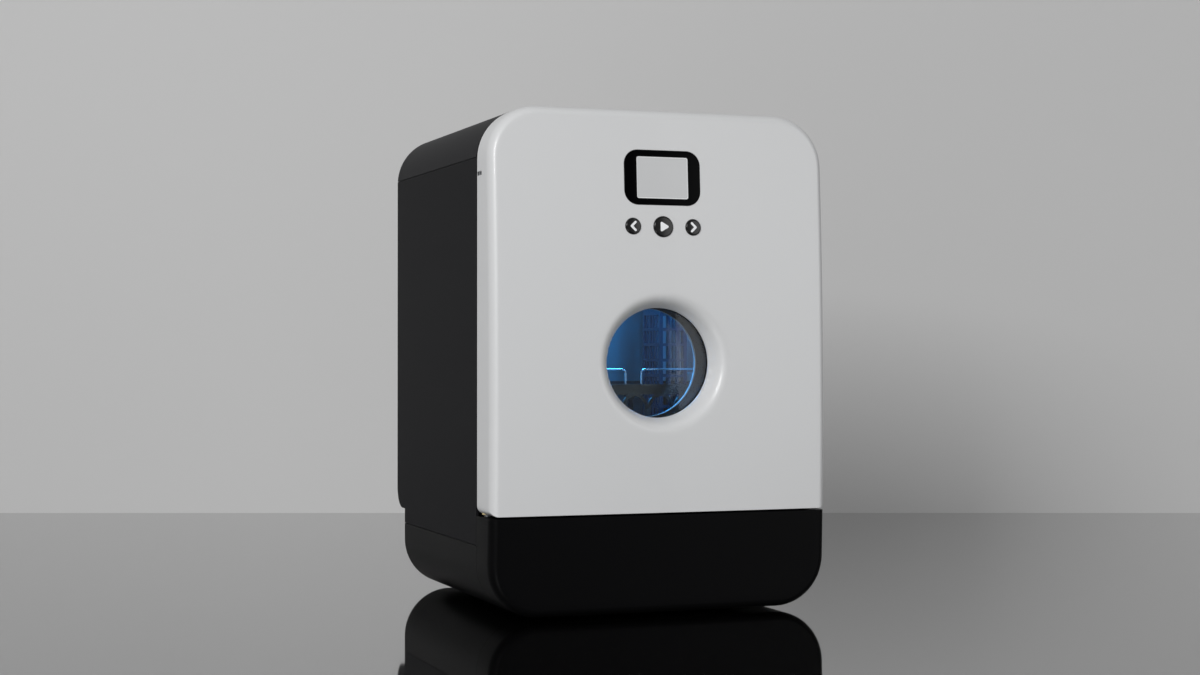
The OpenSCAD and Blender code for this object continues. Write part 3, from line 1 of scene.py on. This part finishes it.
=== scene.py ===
# %% [markdown]
# # A countertop dishwasher with a round window
# The object is a 352 x 358 x 495 mm cabinet. A crowned white door fills the upper front, a near-black
# plinth continues its form below, and blue light shines out of the wash chamber through a deep round
# window. Everything is built in the object's own frame: the origin is on the worktop under the middle
# of the body, +X is the user's right, -Y is the front and +Z is up.

# %%
import json
import math

import bmesh
import bpy
import numpy as np
from mathutils import Matrix, Vector


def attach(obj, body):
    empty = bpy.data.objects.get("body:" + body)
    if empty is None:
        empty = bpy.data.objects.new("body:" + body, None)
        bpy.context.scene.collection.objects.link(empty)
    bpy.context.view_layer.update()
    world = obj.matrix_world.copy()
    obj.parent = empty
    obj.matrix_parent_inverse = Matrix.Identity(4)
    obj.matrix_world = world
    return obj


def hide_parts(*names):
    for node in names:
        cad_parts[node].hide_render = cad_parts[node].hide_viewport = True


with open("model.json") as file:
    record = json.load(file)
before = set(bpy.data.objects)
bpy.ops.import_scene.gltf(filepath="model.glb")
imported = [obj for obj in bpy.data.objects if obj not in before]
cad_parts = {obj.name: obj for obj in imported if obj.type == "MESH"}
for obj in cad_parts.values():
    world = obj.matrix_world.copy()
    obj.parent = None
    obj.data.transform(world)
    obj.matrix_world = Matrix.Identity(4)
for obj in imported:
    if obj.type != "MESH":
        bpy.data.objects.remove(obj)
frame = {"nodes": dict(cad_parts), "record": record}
nodes = frame["nodes"]
scene = bpy.context.scene
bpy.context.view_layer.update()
MM = 0.001

# %% [markdown]
# ## Sizes
# All in millimetres. The front of the door and plinth is one crowned form with an elliptical edge
# rounding; everything on it is placed from these numbers.

# %%
HALF_W, TOP, FOOT = 176.0, 495.0, 3.0
FRONT_Y = -179.0
TOP_R, BOTTOM_R = 51.0, 50.0
EDGE_DEPTH, EDGE_INSET, EDGE_RINGS = 12.0, 8.0, 12
CROWN_R, CROWN_Z, SIDE_CROWN_R = 3900.0, 205.0, 9000.0
DOOR_BACK, DOOR_BASE, DOOR_CORNER = -130.0, 101.0, 8.0
PLINTH_BACK, PLINTH_TOP = -127.6, 99.0
HINGE = (-168.0, -138.0)
SKIN = 3.0
ROOM_Y, REBATE_Y, REAR_Y = -158.0, -133.0, -120.0
ROOM_X0, ROOM_X1 = -160.0, 162.0
PIN_SHELF = PLINTH_TOP - SKIN
BUTTON_PLAY = 0.4
GRIP_Z, GRIP_HALF, GRIP_R = 325.0, 50.0, 13.0
FAR = 200.0
WINDOW_Z, WINDOW_R, DISH_W, DISH_D = 247.0, 54.0, 18.0, 18.0
BEZEL_Z, BEZEL_W, BEZEL_H, BEZEL_R = 428.0, 79.5, 53.6, 14.0
SCREEN_W, SCREEN_H = 54.0, 41.0
BUTTON_Z, BUTTON_PITCH = 380.0, 31.5
BUTTONS = {"back_button": (-BUTTON_PITCH, 7.8), "play_button": (0.0, 10.0),
           "next_button": (BUTTON_PITCH, 7.8)}


def crown(x, z):
    """How far the crowned front lies behind its foremost point, in mm."""
    return (z - CROWN_Z) ** 2 / (2 * CROWN_R) + x * x / (2 * SIDE_CROWN_R)


def dish(x, z):
    """Depth of the sunk ring round the window, steepest at the rim and fading out into the face."""
    t = np.clip((np.hypot(x, z - WINDOW_Z) - WINDOW_R) / DISH_W, 0, 1)
    return DISH_D * (1 - t) ** 3.5


# %% [markdown]
# ## Small mesh tools

# %%
def link(obj):
    scene.collection.objects.link(obj)
    return obj


def mesh_object(name, verts_mm, faces):
    """An object at the origin whose vertices are given in millimetres of the row frame."""
    mesh = bpy.data.meshes.new(name)
    mesh.from_pydata((np.asarray(verts_mm, float) * MM).tolist(), [], faces)
    mesh.validate()
    return link(bpy.data.objects.new(name, mesh))


def shade(obj, angle=30):
    """Smooth shading with sharp edges where two faces meet at more than the angle."""
    mesh = obj.data
    mesh.polygons.foreach_set("use_smooth", [True] * len(mesh.polygons))
    bm = bmesh.new()
    bm.from_mesh(mesh)
    for edge in bm.edges:
        edge.smooth = len(edge.link_faces) == 2 and edge.calc_face_angle(0) < math.radians(angle)
    bm.to_mesh(mesh)
    bm.free()
    mesh.update()


def lathe(name, profile, centre, axis="Y", steps=96):
    """A closed solid of revolution. profile is [(radius, height along the axis)] in mm."""
    verts, faces = [], []
    n = len(profile)
    for i in range(steps):
        a = 2 * math.pi * i / steps
        for r, h in profile:
            if axis == "Y":
                verts.append((centre[0] + r * math.cos(a), centre[1] + h, centre[2] + r * math.sin(a)))
            else:
                verts.append((centre[0] + r * math.cos(a), centre[1] + r * math.sin(a), centre[2] + h))
    for i in range(steps):
        for k in range(n - 1):
            a, b = i * n + k, ((i + 1) % steps) * n + k
            faces.append((a, b, b + 1, a + 1))
    obj = mesh_object(name, verts, faces)
    bm = bmesh.new()
    bm.from_mesh(obj.data)
    bmesh.ops.remove_doubles(bm, verts=bm.verts, dist=1e-6)
    bmesh.ops.holes_fill(bm, edges=[e for e in bm.edges if len(e.link_faces) < 2])
    bmesh.ops.recalc_face_normals(bm, faces=bm.faces)
    bm.to_mesh(obj.data)
    bm.free()
    return obj


def round_rect_points(w, h, r, steps=12):
    """Points of a rounded rectangle about the origin, counter-clockwise from the lower right."""
    pts = []
    for cx, cz, a0 in ((1, -1, -90), (1, 1, 0), (-1, 1, 90), (-1, -1, 180)):
        for i in range(steps + 1):
            a = math.radians(a0 + 90 * i / steps)
            pts.append((cx * (w / 2 - r) + r * math.cos(a), cz * (h / 2 - r) + r * math.sin(a)))
    return pts


def prism(name, loops, close=True):
    """A solid skinned over loops of equal length, each a list of (x, y, z) in mm. With close off, the
    last loop is one that has fallen together into a line, and its points are merged."""
    n = len(loops[0])
    verts = [p for loop in loops for p in loop]
    faces = [(k * n + i, k * n + (i + 1) % n, (k + 1) * n + (i + 1) % n, (k + 1) * n + i)
             for k in range(len(loops) - 1) for i in range(n)]
    faces.append(tuple(reversed(range(n))))
    if close:
        faces.append(tuple(range((len(loops) - 1) * n, len(loops) * n)))
    obj = mesh_object(name, verts, faces)
    bm = bmesh.new()
    bm.from_mesh(obj.data)
    if not close:
        bmesh.ops.remove_doubles(bm, verts=bm.verts, dist=1e-6)
    bmesh.ops.recalc_face_normals(bm, faces=bm.faces)
    bm.to_mesh(obj.data)
    bm.free()
    return obj


def place_on_front(obj, z0):
    """Moves a piece drawn about the origin onto the front at height z0, leaning with it."""
    lean = math.asin((z0 - CROWN_Z) / CROWN_R)
    y0 = FRONT_Y + (z0 - CROWN_Z) ** 2 / (2 * CROWN_R)
    obj.data.transform(Matrix.Translation(Vector((0, y0, z0)) * MM) @ Matrix.Rotation(-lean, 4, "X"))
    return obj


def boolean(obj, cutter, operation="DIFFERENCE"):
    """Cuts the cutter out of obj, or joins it on, and removes the cutter."""
    mod = obj.modifiers.new("cut", "BOOLEAN")
    mod.operation, mod.object, mod.solver = operation, cutter, "EXACT"
    depsgraph = bpy.context.evaluated_depsgraph_get()
    mesh = bpy.data.meshes.new_from_object(obj.evaluated_get(depsgraph))
    obj.modifiers.clear()
    old = obj.data
    obj.data = mesh
    bpy.data.meshes.remove(old)
    bpy.data.objects.remove(cutter)
    return obj


# %% [markdown]
# ## Materials
# Each slot of the record gets one finish. Patterns use object coordinates, so a noise scale of
# 1 / (size in metres) is a real size on the surface.

# %%
def linear(hex_colour):
    """A display colour such as #c9ced3 as the linear values that shaders take."""
    out = []
    for i in (1, 3, 5):
        c = int(hex_colour[i:i + 2], 16) / 255
        out.append(c / 12.92 if c <= 0.04045 else ((c + 0.055) / 1.055) ** 2.4)
    return (*out, 1.0)


def add(tree, kind, at=(0, 0), settings=None, **inputs):
    """Adds a node, sets its properties and its inputs. An input may be a value or another socket."""
    node = tree.nodes.new(kind)
    node.location = at
    for key, value in (settings or {}).items():
        setattr(node, key, value)
    for key, value in inputs.items():
        socket = node.inputs[key.replace("_", " ")]
        if isinstance(value, bpy.types.NodeSocket):
            tree.links.new(value, socket)
        else:
            socket.default_value = value
    return node


def principled(name, colour, roughness=0.4, metallic=0.0, grain_mm=0.0, grain=0.0, coat=0.0,
               bevel_mm=0.0, stretch=None, rough_var=0.0, specular=0.5):
    mat = bpy.data.materials.new(name)
    mat.use_nodes = True
    tree = mat.node_tree
    tree.nodes.clear()
    out = add(tree, "ShaderNodeOutputMaterial", (900, 0))
    shader = add(tree, "ShaderNodeBsdfPrincipled", (600, 0), Base_Color=linear(colour), Metallic=metallic,
                 Roughness=roughness)
    shader.inputs["Coat Weight"].default_value = coat
    shader.inputs["Coat Roughness"].default_value = 0.06
    shader.inputs["Specular IOR Level"].default_value = specular
    normal = None
    if bevel_mm:
        normal = add(tree, "ShaderNodeBevel", (0, -400), {"samples": 4}, Radius=bevel_mm * MM).outputs[0]
    if grain_mm:
        coords = add(tree, "ShaderNodeTexCoord", (-900, 0)).outputs["Object"]
        if stretch:
            coords = add(tree, "ShaderNodeMapping", (-700, 0), Vector=coords, Scale=stretch).outputs[0]
        noise = add(tree, "ShaderNodeTexNoise", (-450, 0), Vector=coords, Scale=1 / (grain_mm * MM),
                    Detail=3.0)
        if grain:
            bump = add(tree, "ShaderNodeBump", (300, -400), Height=noise.outputs[0], Strength=grain,
                       Distance=0.05 * MM)
            if normal:
                tree.links.new(normal, bump.inputs["Normal"])
            normal = bump.outputs[0]
        if rough_var:
            rng = add(tree, "ShaderNodeMapRange", (-150, 200), Value=noise.outputs[0])
            rng.inputs["To Min"].default_value = max(roughness - rough_var, 0.02)
            rng.inputs["To Max"].default_value = roughness + rough_var
            tree.links.new(rng.outputs[0], shader.inputs["Roughness"])
    if normal:
        tree.links.new(normal, shader.inputs["Normal"])
    tree.links.new(shader.outputs[0], out.inputs[0])
    return mat


def glass(name, tint):
    """Thin clear glass that lets light straight through, with its mirror reflection on top."""
    mat = bpy.data.materials.new(name)
    mat.use_nodes = True
    tree = mat.node_tree
    tree.nodes.clear()
    clear = add(tree, "ShaderNodeBsdfTransparent", (0, 100), Color=linear(tint))
    mirror = add(tree, "ShaderNodeBsdfGlossy", (0, -100), Roughness=0.02)
    facing = add(tree, "ShaderNodeFresnel", (0, 300), IOR=1.3)
    mix = add(tree, "ShaderNodeMixShader", (300, 0), Fac=facing.outputs[0])
    tree.links.new(clear.outputs[0], mix.inputs[1])
    tree.links.new(mirror.outputs[0], mix.inputs[2])
    out = add(tree, "ShaderNodeOutputMaterial", (600, 0))
    tree.links.new(mix.outputs[0], out.inputs[0])
    return mat


def glowing(name, colour, strength):
    """A principled finish that also gives off its own colour."""
    mat = principled(name, colour, 0.3)
    shader = next(n for n in mat.node_tree.nodes if n.type == "BSDF_PRINCIPLED")
    shader.inputs["Emission Color"].default_value = linear(colour)
    shader.inputs["Emission Strength"].default_value = strength
    return mat


MATS = {
    "door_white": principled("door gloss white ABS", "#cfd0d1", 0.38, grain_mm=0.6, grain=0.04,
                             bevel_mm=0.6, coat=0.15),
    "casing_grey": principled("casing satin powder coat", "#19191b", 0.5, grain_mm=0.8, grain=0.25,
                              bevel_mm=0.4, rough_var=0.04, specular=0.03),
    # The top cover is the same powder coat as the sides, made lighter here: painted light on the top face.
    "casing_top_painted_lit": principled("cover powder coat with painted top light", "#202022", 0.5, grain_mm=0.8, grain=0.25,
                             bevel_mm=0.4, rough_var=0.04, specular=0.05),
    "base_black": principled("base black polypropylene", "#070708", 0.45, grain_mm=0.5, grain=0.15,
                             bevel_mm=0.4, specular=0.05),
    "gloss_black": principled("gloss black ABS", "#020203", 0.2, specular=0.03),
    "button_black": principled("polished black button", "#040405", 0.15, specular=0.4),
    # The grey screen is given a faint glow, which is painted light on top of its own grey.
    "screen_grey": glowing("liquid crystal grey with painted glow", "#b4b5b6", 0.17),
    "inner_white": principled("satin white polypropylene", "#c9cbcd", 0.35, grain_mm=0.6, grain=0.05),
    "tub_steel": principled("brushed stainless steel", "#a9acb0", 0.3, 1.0, grain_mm=0.4, grain=0.1,
                            stretch=(1, 1, 30), rough_var=0.08),
    "fixing_steel": principled("zinc plated steel", "#9a9da1", 0.3, 1.0, grain_mm=2.0, rough_var=0.06),
    "motor_zinc": principled("die-cast aluminium", "#8c8f93", 0.45, 1.0, grain_mm=1.0, grain=0.2),
    "wire_chrome": principled("bright chrome wire", "#d8dadc", 0.08, 1.0),
    "rack_black": principled("rack black polypropylene", "#101013", 0.25, bevel_mm=0.5, coat=0.5),
    "tine_grey": principled("nylon coated wire", "#8d9196", 0.45),
    "basket_blue": principled("basket polypropylene", "#0d2a3a", 0.35, specular=0.3),
    "arm_grey": principled("light grey polypropylene", "#b4b8bc", 0.35),
    "runner_white": principled("white acetal", "#dfe1e3", 0.4),
    "bush_plastic": principled("natural nylon", "#cbb98a", 0.45),
    "pump_plastic": principled("glass-filled polypropylene", "#2f3134", 0.5, grain_mm=0.5, grain=0.2),
    "tank_clear": principled("natural polypropylene", "#cdd6da", 0.45),
    "hose_black": principled("black hose rubber", "#151515", 0.55),
    "hose_clear": principled("milky silicone", "#b9c2c6", 0.4),
    "gasket_rubber": principled("dark silicone seal", "#2c2d2f", 0.55),
    "foot_rubber": principled("black rubber", "#1d1d1d", 0.7),
    "tunnel_dark": principled("dark grey window tube", "#1d1e20", 0.6, specular=0.1),
    "window_glass": glass("clear tempered glass", "#f4f8fa"),
    "lamp_lens": glowing("blue lamp lens", "#2aa4ff", 6.0),
    "board_green": principled("green circuit board", "#1f5a39", 0.4),
    # The lighter screen border also glows: its own lighter tone plus painted light.
    "screen_border_painted_glow": glowing("lighter screen border with painted glow", "#cfd0d1", 0.25),
    # The light grey arrow inlays also glow faintly: their own colour plus painted light.
    "button_mark_painted_glow": glowing("light grey inlay with painted glow", "#d6d8da", 0.2),
}


def dress(obj, slot):
    obj.data.materials.clear()
    obj.data.materials.append(MATS[slot])
    return obj


SLOT = {s["node"]: s["material_slot"] for s in frame["record"]["subparts"]}
for name, obj in nodes.items():
    obj.data.materials.clear()
    # The top cover takes the lighter copy of the casing finish, which is painted light on the top.
    obj.data.materials.append(MATS["casing_top_painted_lit" if name == "top_cover" else SLOT[name]])

# %% [markdown]
# ## The crowned front
# Rings parallel to the outline step in from the side. The first rings follow the edge rounding, the
# rest lie on the crown. They are close enough together to carry the sunk ring round the window.

# %%
def outline_ring(inset, corner=14, side=150, across=120):
    """Outline of the body drawn in by inset, from the lower right corner round to the bottom edge."""
    w = HALF_W - inset
    rt, rb = (min(max(r - inset, 4), w) for r in (TOP_R, BOTTOM_R))
    zt, zb = TOP - inset, FOOT + inset
    low, high = zb + rb, zt - rt
    q = np.radians(np.linspace(-90, 0, corner, endpoint=False))
    pts = [np.c_[w - rb + rb * np.cos(q), low + rb * np.sin(q)]]
    u = np.linspace(0, 1, side, endpoint=False)
    pts.append(np.c_[np.full(side, w), low + (high - low) * u])
    pts.append(np.c_[w - rt + rt * np.cos(q + np.pi / 2), high + rt * np.sin(q + np.pi / 2)])
    u = np.linspace(0, 1, across, endpoint=False)
    pts.append(np.c_[(w - rt) * (1 - 2 * u), np.full(across, zt)])
    pts.append(np.c_[-w + rt + rt * np.cos(q + np.pi), high + rt * np.sin(q + np.pi)])
    u = np.linspace(0, 1, side, endpoint=False)
    pts.append(np.c_[np.full(side, -w), high + (low - high) * u])
    pts.append(np.c_[-w + rb + rb * np.cos(q + 1.5 * np.pi), low + rb * np.sin(q + 1.5 * np.pi)])
    u = np.linspace(0, 1, across, endpoint=False)
    pts.append(np.c_[-(w - rb) * (1 - 2 * u), np.full(across, zb)])
    return np.concatenate(pts)


def front_form(name, back_y, step=2.0, with_dish=True):
    """The crowned front as a closed solid whose flat back lies at back_y."""
    insets = [(0.0, None)]
    insets += [(EDGE_INSET * (1 - math.cos(a)), EDGE_DEPTH * (1 - math.sin(a)))
               for a in np.linspace(0, math.pi / 2, EDGE_RINGS)]
    insets += [(s, 0.0) for s in np.arange(EDGE_INSET + step, HALF_W - 0.5, step)] + [(HALF_W, 0.0)]
    loops = []
    for inset, drop in insets:
        ring = outline_ring(inset)
        x, z = ring[:, 0], ring[:, 1]
        if drop is None:
            y = np.full(len(x), back_y)
        else:
            y = FRONT_Y + crown(x, z) + drop + (dish(x, z) if with_dish else 0)
        loops.append(np.c_[x, y, z])
    return prism(name, [loop.tolist() for loop in loops], close=False)


def box_mesh(name, lo, hi):
    x0, y0, z0 = lo
    x1, y1, z1 = hi
    loop = [(x0, y0), (x1, y0), (x1, y1), (x0, y1)]
    return prism(name, [[(x, y, z0) for x, y in loop], [(x, y, z1) for x, y in loop]])


def extrude_y(name, points, y0, y1):
    return prism(name, [[(x, y, z) for x, z in points] for y in (y0, y1)])


def outline_2d(g):
    """Outline of the body drawn in by g, as plain (x, z) points."""
    return [tuple(p) for p in outline_ring(g, corner=16, side=1, across=1)]


# %% [markdown]
# ## Door skin

# %%
def rod(radius, h0, h1, centre, axis="Y", steps=96):
    """A plain round cutter from h0 to h1 along its axis."""
    return lathe("cutter", [(0, h0), (radius, h0), (radius, h1), (0, h1)], centre, axis, steps)


door = front_form("door_skin", DOOR_BACK)
corner_x, corner_z = HALF_W - DOOR_CORNER, DOOR_BASE + DOOR_CORNER
corner = [(HALF_W + 5, 0.0), (HALF_W + 5, corner_z)]
corner += [(corner_x + DOOR_CORNER * math.cos(a), corner_z + DOOR_CORNER * math.sin(a))
           for a in np.radians(np.linspace(0, -90, 9))]
lower = corner + [(-x, z) for x, z in reversed(corner)]
boolean(door, extrude_y("cutter", lower, FRONT_Y - 20, DOOR_BACK + 20))
boolean(door, rod(WINDOW_R, -40, 60, (0, -150, WINDOW_Z), steps=160))

# %% [markdown]
# Bores for the buttons, the seat and the hole of the display, and the room behind them.

# %%
for x, r in BUTTONS.values():
    boolean(door, place_on_front(rod(r + BUTTON_PLAY, -20, 9, (x, 0, 0), steps=72), BUTTON_Z))
behind = extrude_y("cutter", round_rect_points(112, 112, 10), 4.3, 24)
boolean(door, place_on_front(behind, (BUTTON_Z + BEZEL_Z) / 2))
boolean(door, place_on_front(extrude_y("cutter", round_rect_points(SCREEN_W, SCREEN_H, 2), -1, 6), BEZEL_Z))
recess = extrude_y("cutter", round_rect_points(BEZEL_W + 0.6, BEZEL_H + 0.6, BEZEL_R + 0.3), -20, 1.8)
boolean(door, place_on_front(recess, BEZEL_Z))

# %% [markdown]
# The room inside the door stops at the hinge column, at the grip and at the ring round the window.
# Behind it lies the rebate of the inner panel.

# %%
def cut_room(y0, y1, grip_z0, grip_z1):
    """The inside of the door from y0 back to y1, less the column and the block that carries the grip."""
    cutter = extrude_y("cutter", outline_2d(SKIN), y0, y1)
    boolean(cutter, box_mesh("cutter", (-FAR, -FAR, -20), (FAR, 0, DOOR_BASE + SKIN)))
    boolean(cutter, box_mesh("cutter", (-FAR, -FAR, 0), (ROOM_X0, 0, 600)))
    boolean(cutter, box_mesh("cutter", (ROOM_X1, -FAR, grip_z0), (FAR, 0, grip_z1)))
    return cutter


room = cut_room(ROOM_Y, REBATE_Y, GRIP_Z - 66, GRIP_Z + 66)
boolean(room, rod(75, -40, 0, (0, ROOM_Y, WINDOW_Z)))
boolean(door, room)
boolean(door, cut_room(REBATE_Y - 0.01, REAR_Y, 0, 600))

# %% [markdown]
# Finger recess in the free edge, and the bores and the slit of the hinge in the other.

# %%
arc = [(GRIP_R * math.cos(a), GRIP_R * math.sin(a)) for a in np.radians(np.linspace(0, 90, 9))]
scoop = [(0, -GRIP_HALF - GRIP_R)] + [(r, -GRIP_HALF - h) for r, h in reversed(arc)]
scoop += [(r, GRIP_HALF + h) for r, h in arc[:-1]] + [(0, GRIP_HALF + GRIP_R)]
boolean(door, lathe("cutter", scoop, (HALF_W + 3, DOOR_BACK + 3, GRIP_Z), "Z", 48))
for r, z0, z1 in ((5, 95, 115), (3.15, 110, 420), (5, 414, 428.2), (10.4, 428, 432)):
    boolean(door, rod(r, z0, z1, (*HINGE, 0), "Z", 48))
shade(door, 32)
dress(door, "door_white")
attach(door, "door")
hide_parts("door_shell")

# %% [markdown]
# ## Plinth
# The same form below the door, hollow from behind, with the shelf that carries the lower hinge pin.

# %%
plinth = front_form("plinth_skin", PLINTH_BACK, step=6.0, with_dish=False)
boolean(plinth, box_mesh("cutter", (-FAR, -FAR, PLINTH_TOP), (FAR, 0, 600)))
room = extrude_y("cutter", outline_2d(SKIN), ROOM_Y, -100)
boolean(room, box_mesh("cutter", (-FAR, -FAR, PIN_SHELF), (FAR, 0, 600)))
boolean(plinth, room)
boolean(plinth, rod(7, -11, 2, (*HINGE, PIN_SHELF), "Z", 48), "UNION")
boolean(plinth, rod(3, -7, 9, (*HINGE, PIN_SHELF), "Z", 48))
shade(plinth, 32)
dress(plinth, "base_black")
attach(plinth, "cabinet")
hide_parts("front_plinth")

# %% [markdown]
# ## Display and buttons
# Each is drawn flat about the origin, then set on the leaning front. The black surround has a softly
# rounded edge and the screen a thin lighter border. The arrows are inlaid in the button tops.
# The screen, its border and the arrows glow faintly, which is painted light.

# %%
def rounded_plate(name, w, h, r, front, back, edge=0.6, steps=5):
    """A plate whose front edge is rounded. Depths are behind the front plane."""
    loops = []
    for i in range(steps + 1):
        a = math.pi / 2 * i / steps
        inset, depth = edge * (1 - math.sin(a)), front + edge * (1 - math.cos(a))
        loops.append([(x, depth, z) for x, z in round_rect_points(w - 2 * inset, h - 2 * inset, r - inset)])
    loops.append([(x, back, z) for x, z in round_rect_points(w, h, r)])
    return prism(name, loops)


bezel = rounded_plate("display_surround", BEZEL_W, BEZEL_H, BEZEL_R, -0.4, 1.8)
boolean(bezel, extrude_y("cutter", round_rect_points(SCREEN_W, SCREEN_H, 2), -5, 5))
shade(place_on_front(bezel, BEZEL_Z), 30)
dress(bezel, "gloss_black")
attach(bezel, "door")
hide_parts("display_bezel")

screen = rounded_plate("screen", SCREEN_W - 0.1, SCREEN_H - 0.1, 2, 0.1, 7, edge=0.15)
shade(place_on_front(screen, BEZEL_Z), 30)
dress(screen, "screen_grey")
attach(screen, "door")
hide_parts("display_screen")
# A thin lighter border round the screen. It glows faintly, which is painted light.
frame_line = extrude_y("screen_border_painted_glow", round_rect_points(SCREEN_W - 0.1, SCREEN_H - 0.1, 2), 0.04, 0.1)
boolean(frame_line, extrude_y("cutter", round_rect_points(SCREEN_W - 1.7, SCREEN_H - 1.7, 1.2), -1, 1))
place_on_front(frame_line, BEZEL_Z)
frame_line.data.materials.append(MATS["screen_border_painted_glow"])
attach(frame_line, "door")


def thick_line(points, width, y0, y1, name):
    """A flat bar of constant width along a polyline, with round ends, from y0 back to y1."""
    obj = None
    for (ax, az), (bx, bz) in zip(points, points[1:]):
        a = math.atan2(bz - az, bx - ax)
        loop = [(ax + width / 2 * math.cos(a + t), az + width / 2 * math.sin(a + t))
                for t in np.linspace(math.pi / 2, 1.5 * math.pi, 9)]
        loop += [(bx + width / 2 * math.cos(a + t), bz + width / 2 * math.sin(a + t))
                 for t in np.linspace(-math.pi / 2, math.pi / 2, 9)]
        bar = extrude_y(name, loop, y0, y1)
        obj = bar if obj is None else boolean(obj, bar, "UNION")
    return obj


def button(name, x, r):
    """A round button with a softened edge, its flange and stem, and the arrow on its top."""
    profile = [(0, -1.5), (r - 1.6, -1.5), (r - 1.1, -1.46), (r - 0.5, -1.25), (r - 0.15, -0.9), (r, -0.5),
               (r, 4.5), (r + 1.6, 4.5), (r + 1.6, 5.5), (2.5, 5.5), (2.5, 10), (0, 10)]
    cap = lathe(name + "_cap", profile, (x, 0, 0), steps=72)
    shade(place_on_front(cap, BUTTON_Z), 40)
    dress(cap, "gloss_black")
    cap.data.materials[0] = MATS["button_black"]
    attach(cap, name)
    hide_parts(name)
    if name == "play_button":
        mark = extrude_y(name + "_mark", rounded_triangle(x, 5.2, 1.2), -1.58, -1.4)
    else:
        s = 1 if name == "next_button" else -1
        mark = thick_line([(x - s * 1.9, 3.9), (x + s * 2.1, 0), (x - s * 1.9, -3.9)], 2.3, -1.58, -1.4,
                          name + "_mark")
    place_on_front(mark, BUTTON_Z)
    # The arrow inlay is light grey and glows faintly, which is painted light.
    mark.data.materials.append(MATS["button_mark_painted_glow"])
    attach(mark, name)


def rounded_triangle(x, size, r):
    """A triangle pointing to +x with rounded corners, about the point x."""
    pts = []
    for k in range(3):
        mid = 2 * math.pi * k / 3
        cx, cz = x - 0.2 + (size - r) * math.cos(mid), (size - r) * math.sin(mid)
        pts += [(cx + r * math.cos(mid + t), cz + r * math.sin(mid + t))
                for t in np.linspace(-math.pi / 3, math.pi / 3, 7)]
    return pts


for name, (x, r) in BUTTONS.items():
    button(name, x, r)

# %% [markdown]
# ## Stage, light and camera

# %%
def area(name, at, target, size, watts, colour=(1, 1, 1)):
    data = bpy.data.lights.new(name, "AREA")
    data.shape, data.size, data.size_y = "RECTANGLE", size[0], size[1]
    data.energy, data.color = watts, colour
    obj = link(bpy.data.objects.new(name, data))
    obj.location = at
    obj.rotation_euler = (Vector(target) - Vector(at)).to_track_quat("-Z", "Y").to_euler()
    return obj


cam_data = bpy.data.cameras.new("camera")
cam_data.lens, cam_data.sensor_width = 60.0, 36.0
camera = link(bpy.data.objects.new("camera", cam_data))
YAW, PITCH = math.radians(20.118), math.radians(0.367)
camera.location = (-0.7299, -1.9878, 0.2593)
ahead = Vector((math.sin(YAW) * math.cos(PITCH), math.cos(YAW) * math.cos(PITCH), math.sin(PITCH)))
camera.rotation_euler = ahead.to_track_quat("-Z", "Y").to_euler()
scene.camera = camera

# The backdrop stands square to the camera, and the floor runs from its foot to behind the camera
WALL_AWAY, HALF_STAGE, FLOOR_LENGTH, WALL_HEIGHT = 3.19, 6, 8, 5
flat = Vector((math.sin(YAW), math.cos(YAW), 0))
side = Vector((math.cos(YAW), -math.sin(YAW), 0))
foot = Vector((camera.location.x, camera.location.y, 0)) + flat * WALL_AWAY


def stage_plane(name, corners, mat):
    mesh = bpy.data.meshes.new(name)
    mesh.from_pydata([tuple(c) for c in corners], [], [tuple(range(len(corners)))])
    obj = link(bpy.data.objects.new(name, mesh))
    obj.data.materials.append(mat)
    return obj


def one_sided(mat):
    """Seen from behind, the backdrop is not there, so the object can be viewed from every side."""
    tree = mat.node_tree
    out = next(n for n in tree.nodes if n.type == "OUTPUT_MATERIAL")
    shader = next(n for n in tree.nodes if n.type == "BSDF_PRINCIPLED")
    geo = add(tree, "ShaderNodeNewGeometry", (500, 300))
    clear = add(tree, "ShaderNodeBsdfTransparent", (600, -300))
    mix = add(tree, "ShaderNodeMixShader", (750, 100), Fac=geo.outputs["Backfacing"])
    tree.links.new(shader.outputs[0], mix.inputs[1])
    tree.links.new(clear.outputs[0], mix.inputs[2])
    tree.links.new(mix.outputs[0], out.inputs[0])
    return mat


floor_mat = principled("stage gloss floor", "#a2a2a2", 0.04, 1.0)
wall_mat = one_sided(principled("stage backdrop", "#d5d5d5", 0.9, specular=0.0))
left, right = foot - side * HALF_STAGE, foot + side * HALF_STAGE
near, up = flat * FLOOR_LENGTH, Vector((0, 0, WALL_HEIGHT))
stage_plane("stage_floor", [left - near, right - near, right, left], floor_mat)
stage_plane("stage_wall", [left, right, right + up, left + up], wall_mat)

world = bpy.data.worlds.new("world")
scene.world = world
world.use_nodes = True
world.node_tree.nodes["Background"].inputs["Color"].default_value = (1, 1, 1, 1)
world.node_tree.nodes["Background"].inputs["Strength"].default_value = 0.35

area("key", (-2.3, -2.4, 1.6), (0, 0, 0.25), (1.2, 1.2), 79)
area("fill", (1.8, -2.6, 0.7), (0, 0, 0.2), (1.5, 1.5), 12)
area("chamber_lamp", (0, -0.06, 0.42), (0, -0.02, 0.1), (0.16, 0.1), 1.7, (0.05, 0.42, 1.0))

scene.render.engine = "CYCLES"
scene.cycles.samples = 96
scene.cycles.use_denoising = True
scene.cycles.max_bounces = 8
scene.render.resolution_x, scene.render.resolution_y = 1200, 675
scene.view_settings.view_transform = "Standard"
scene.view_settings.look = "None"
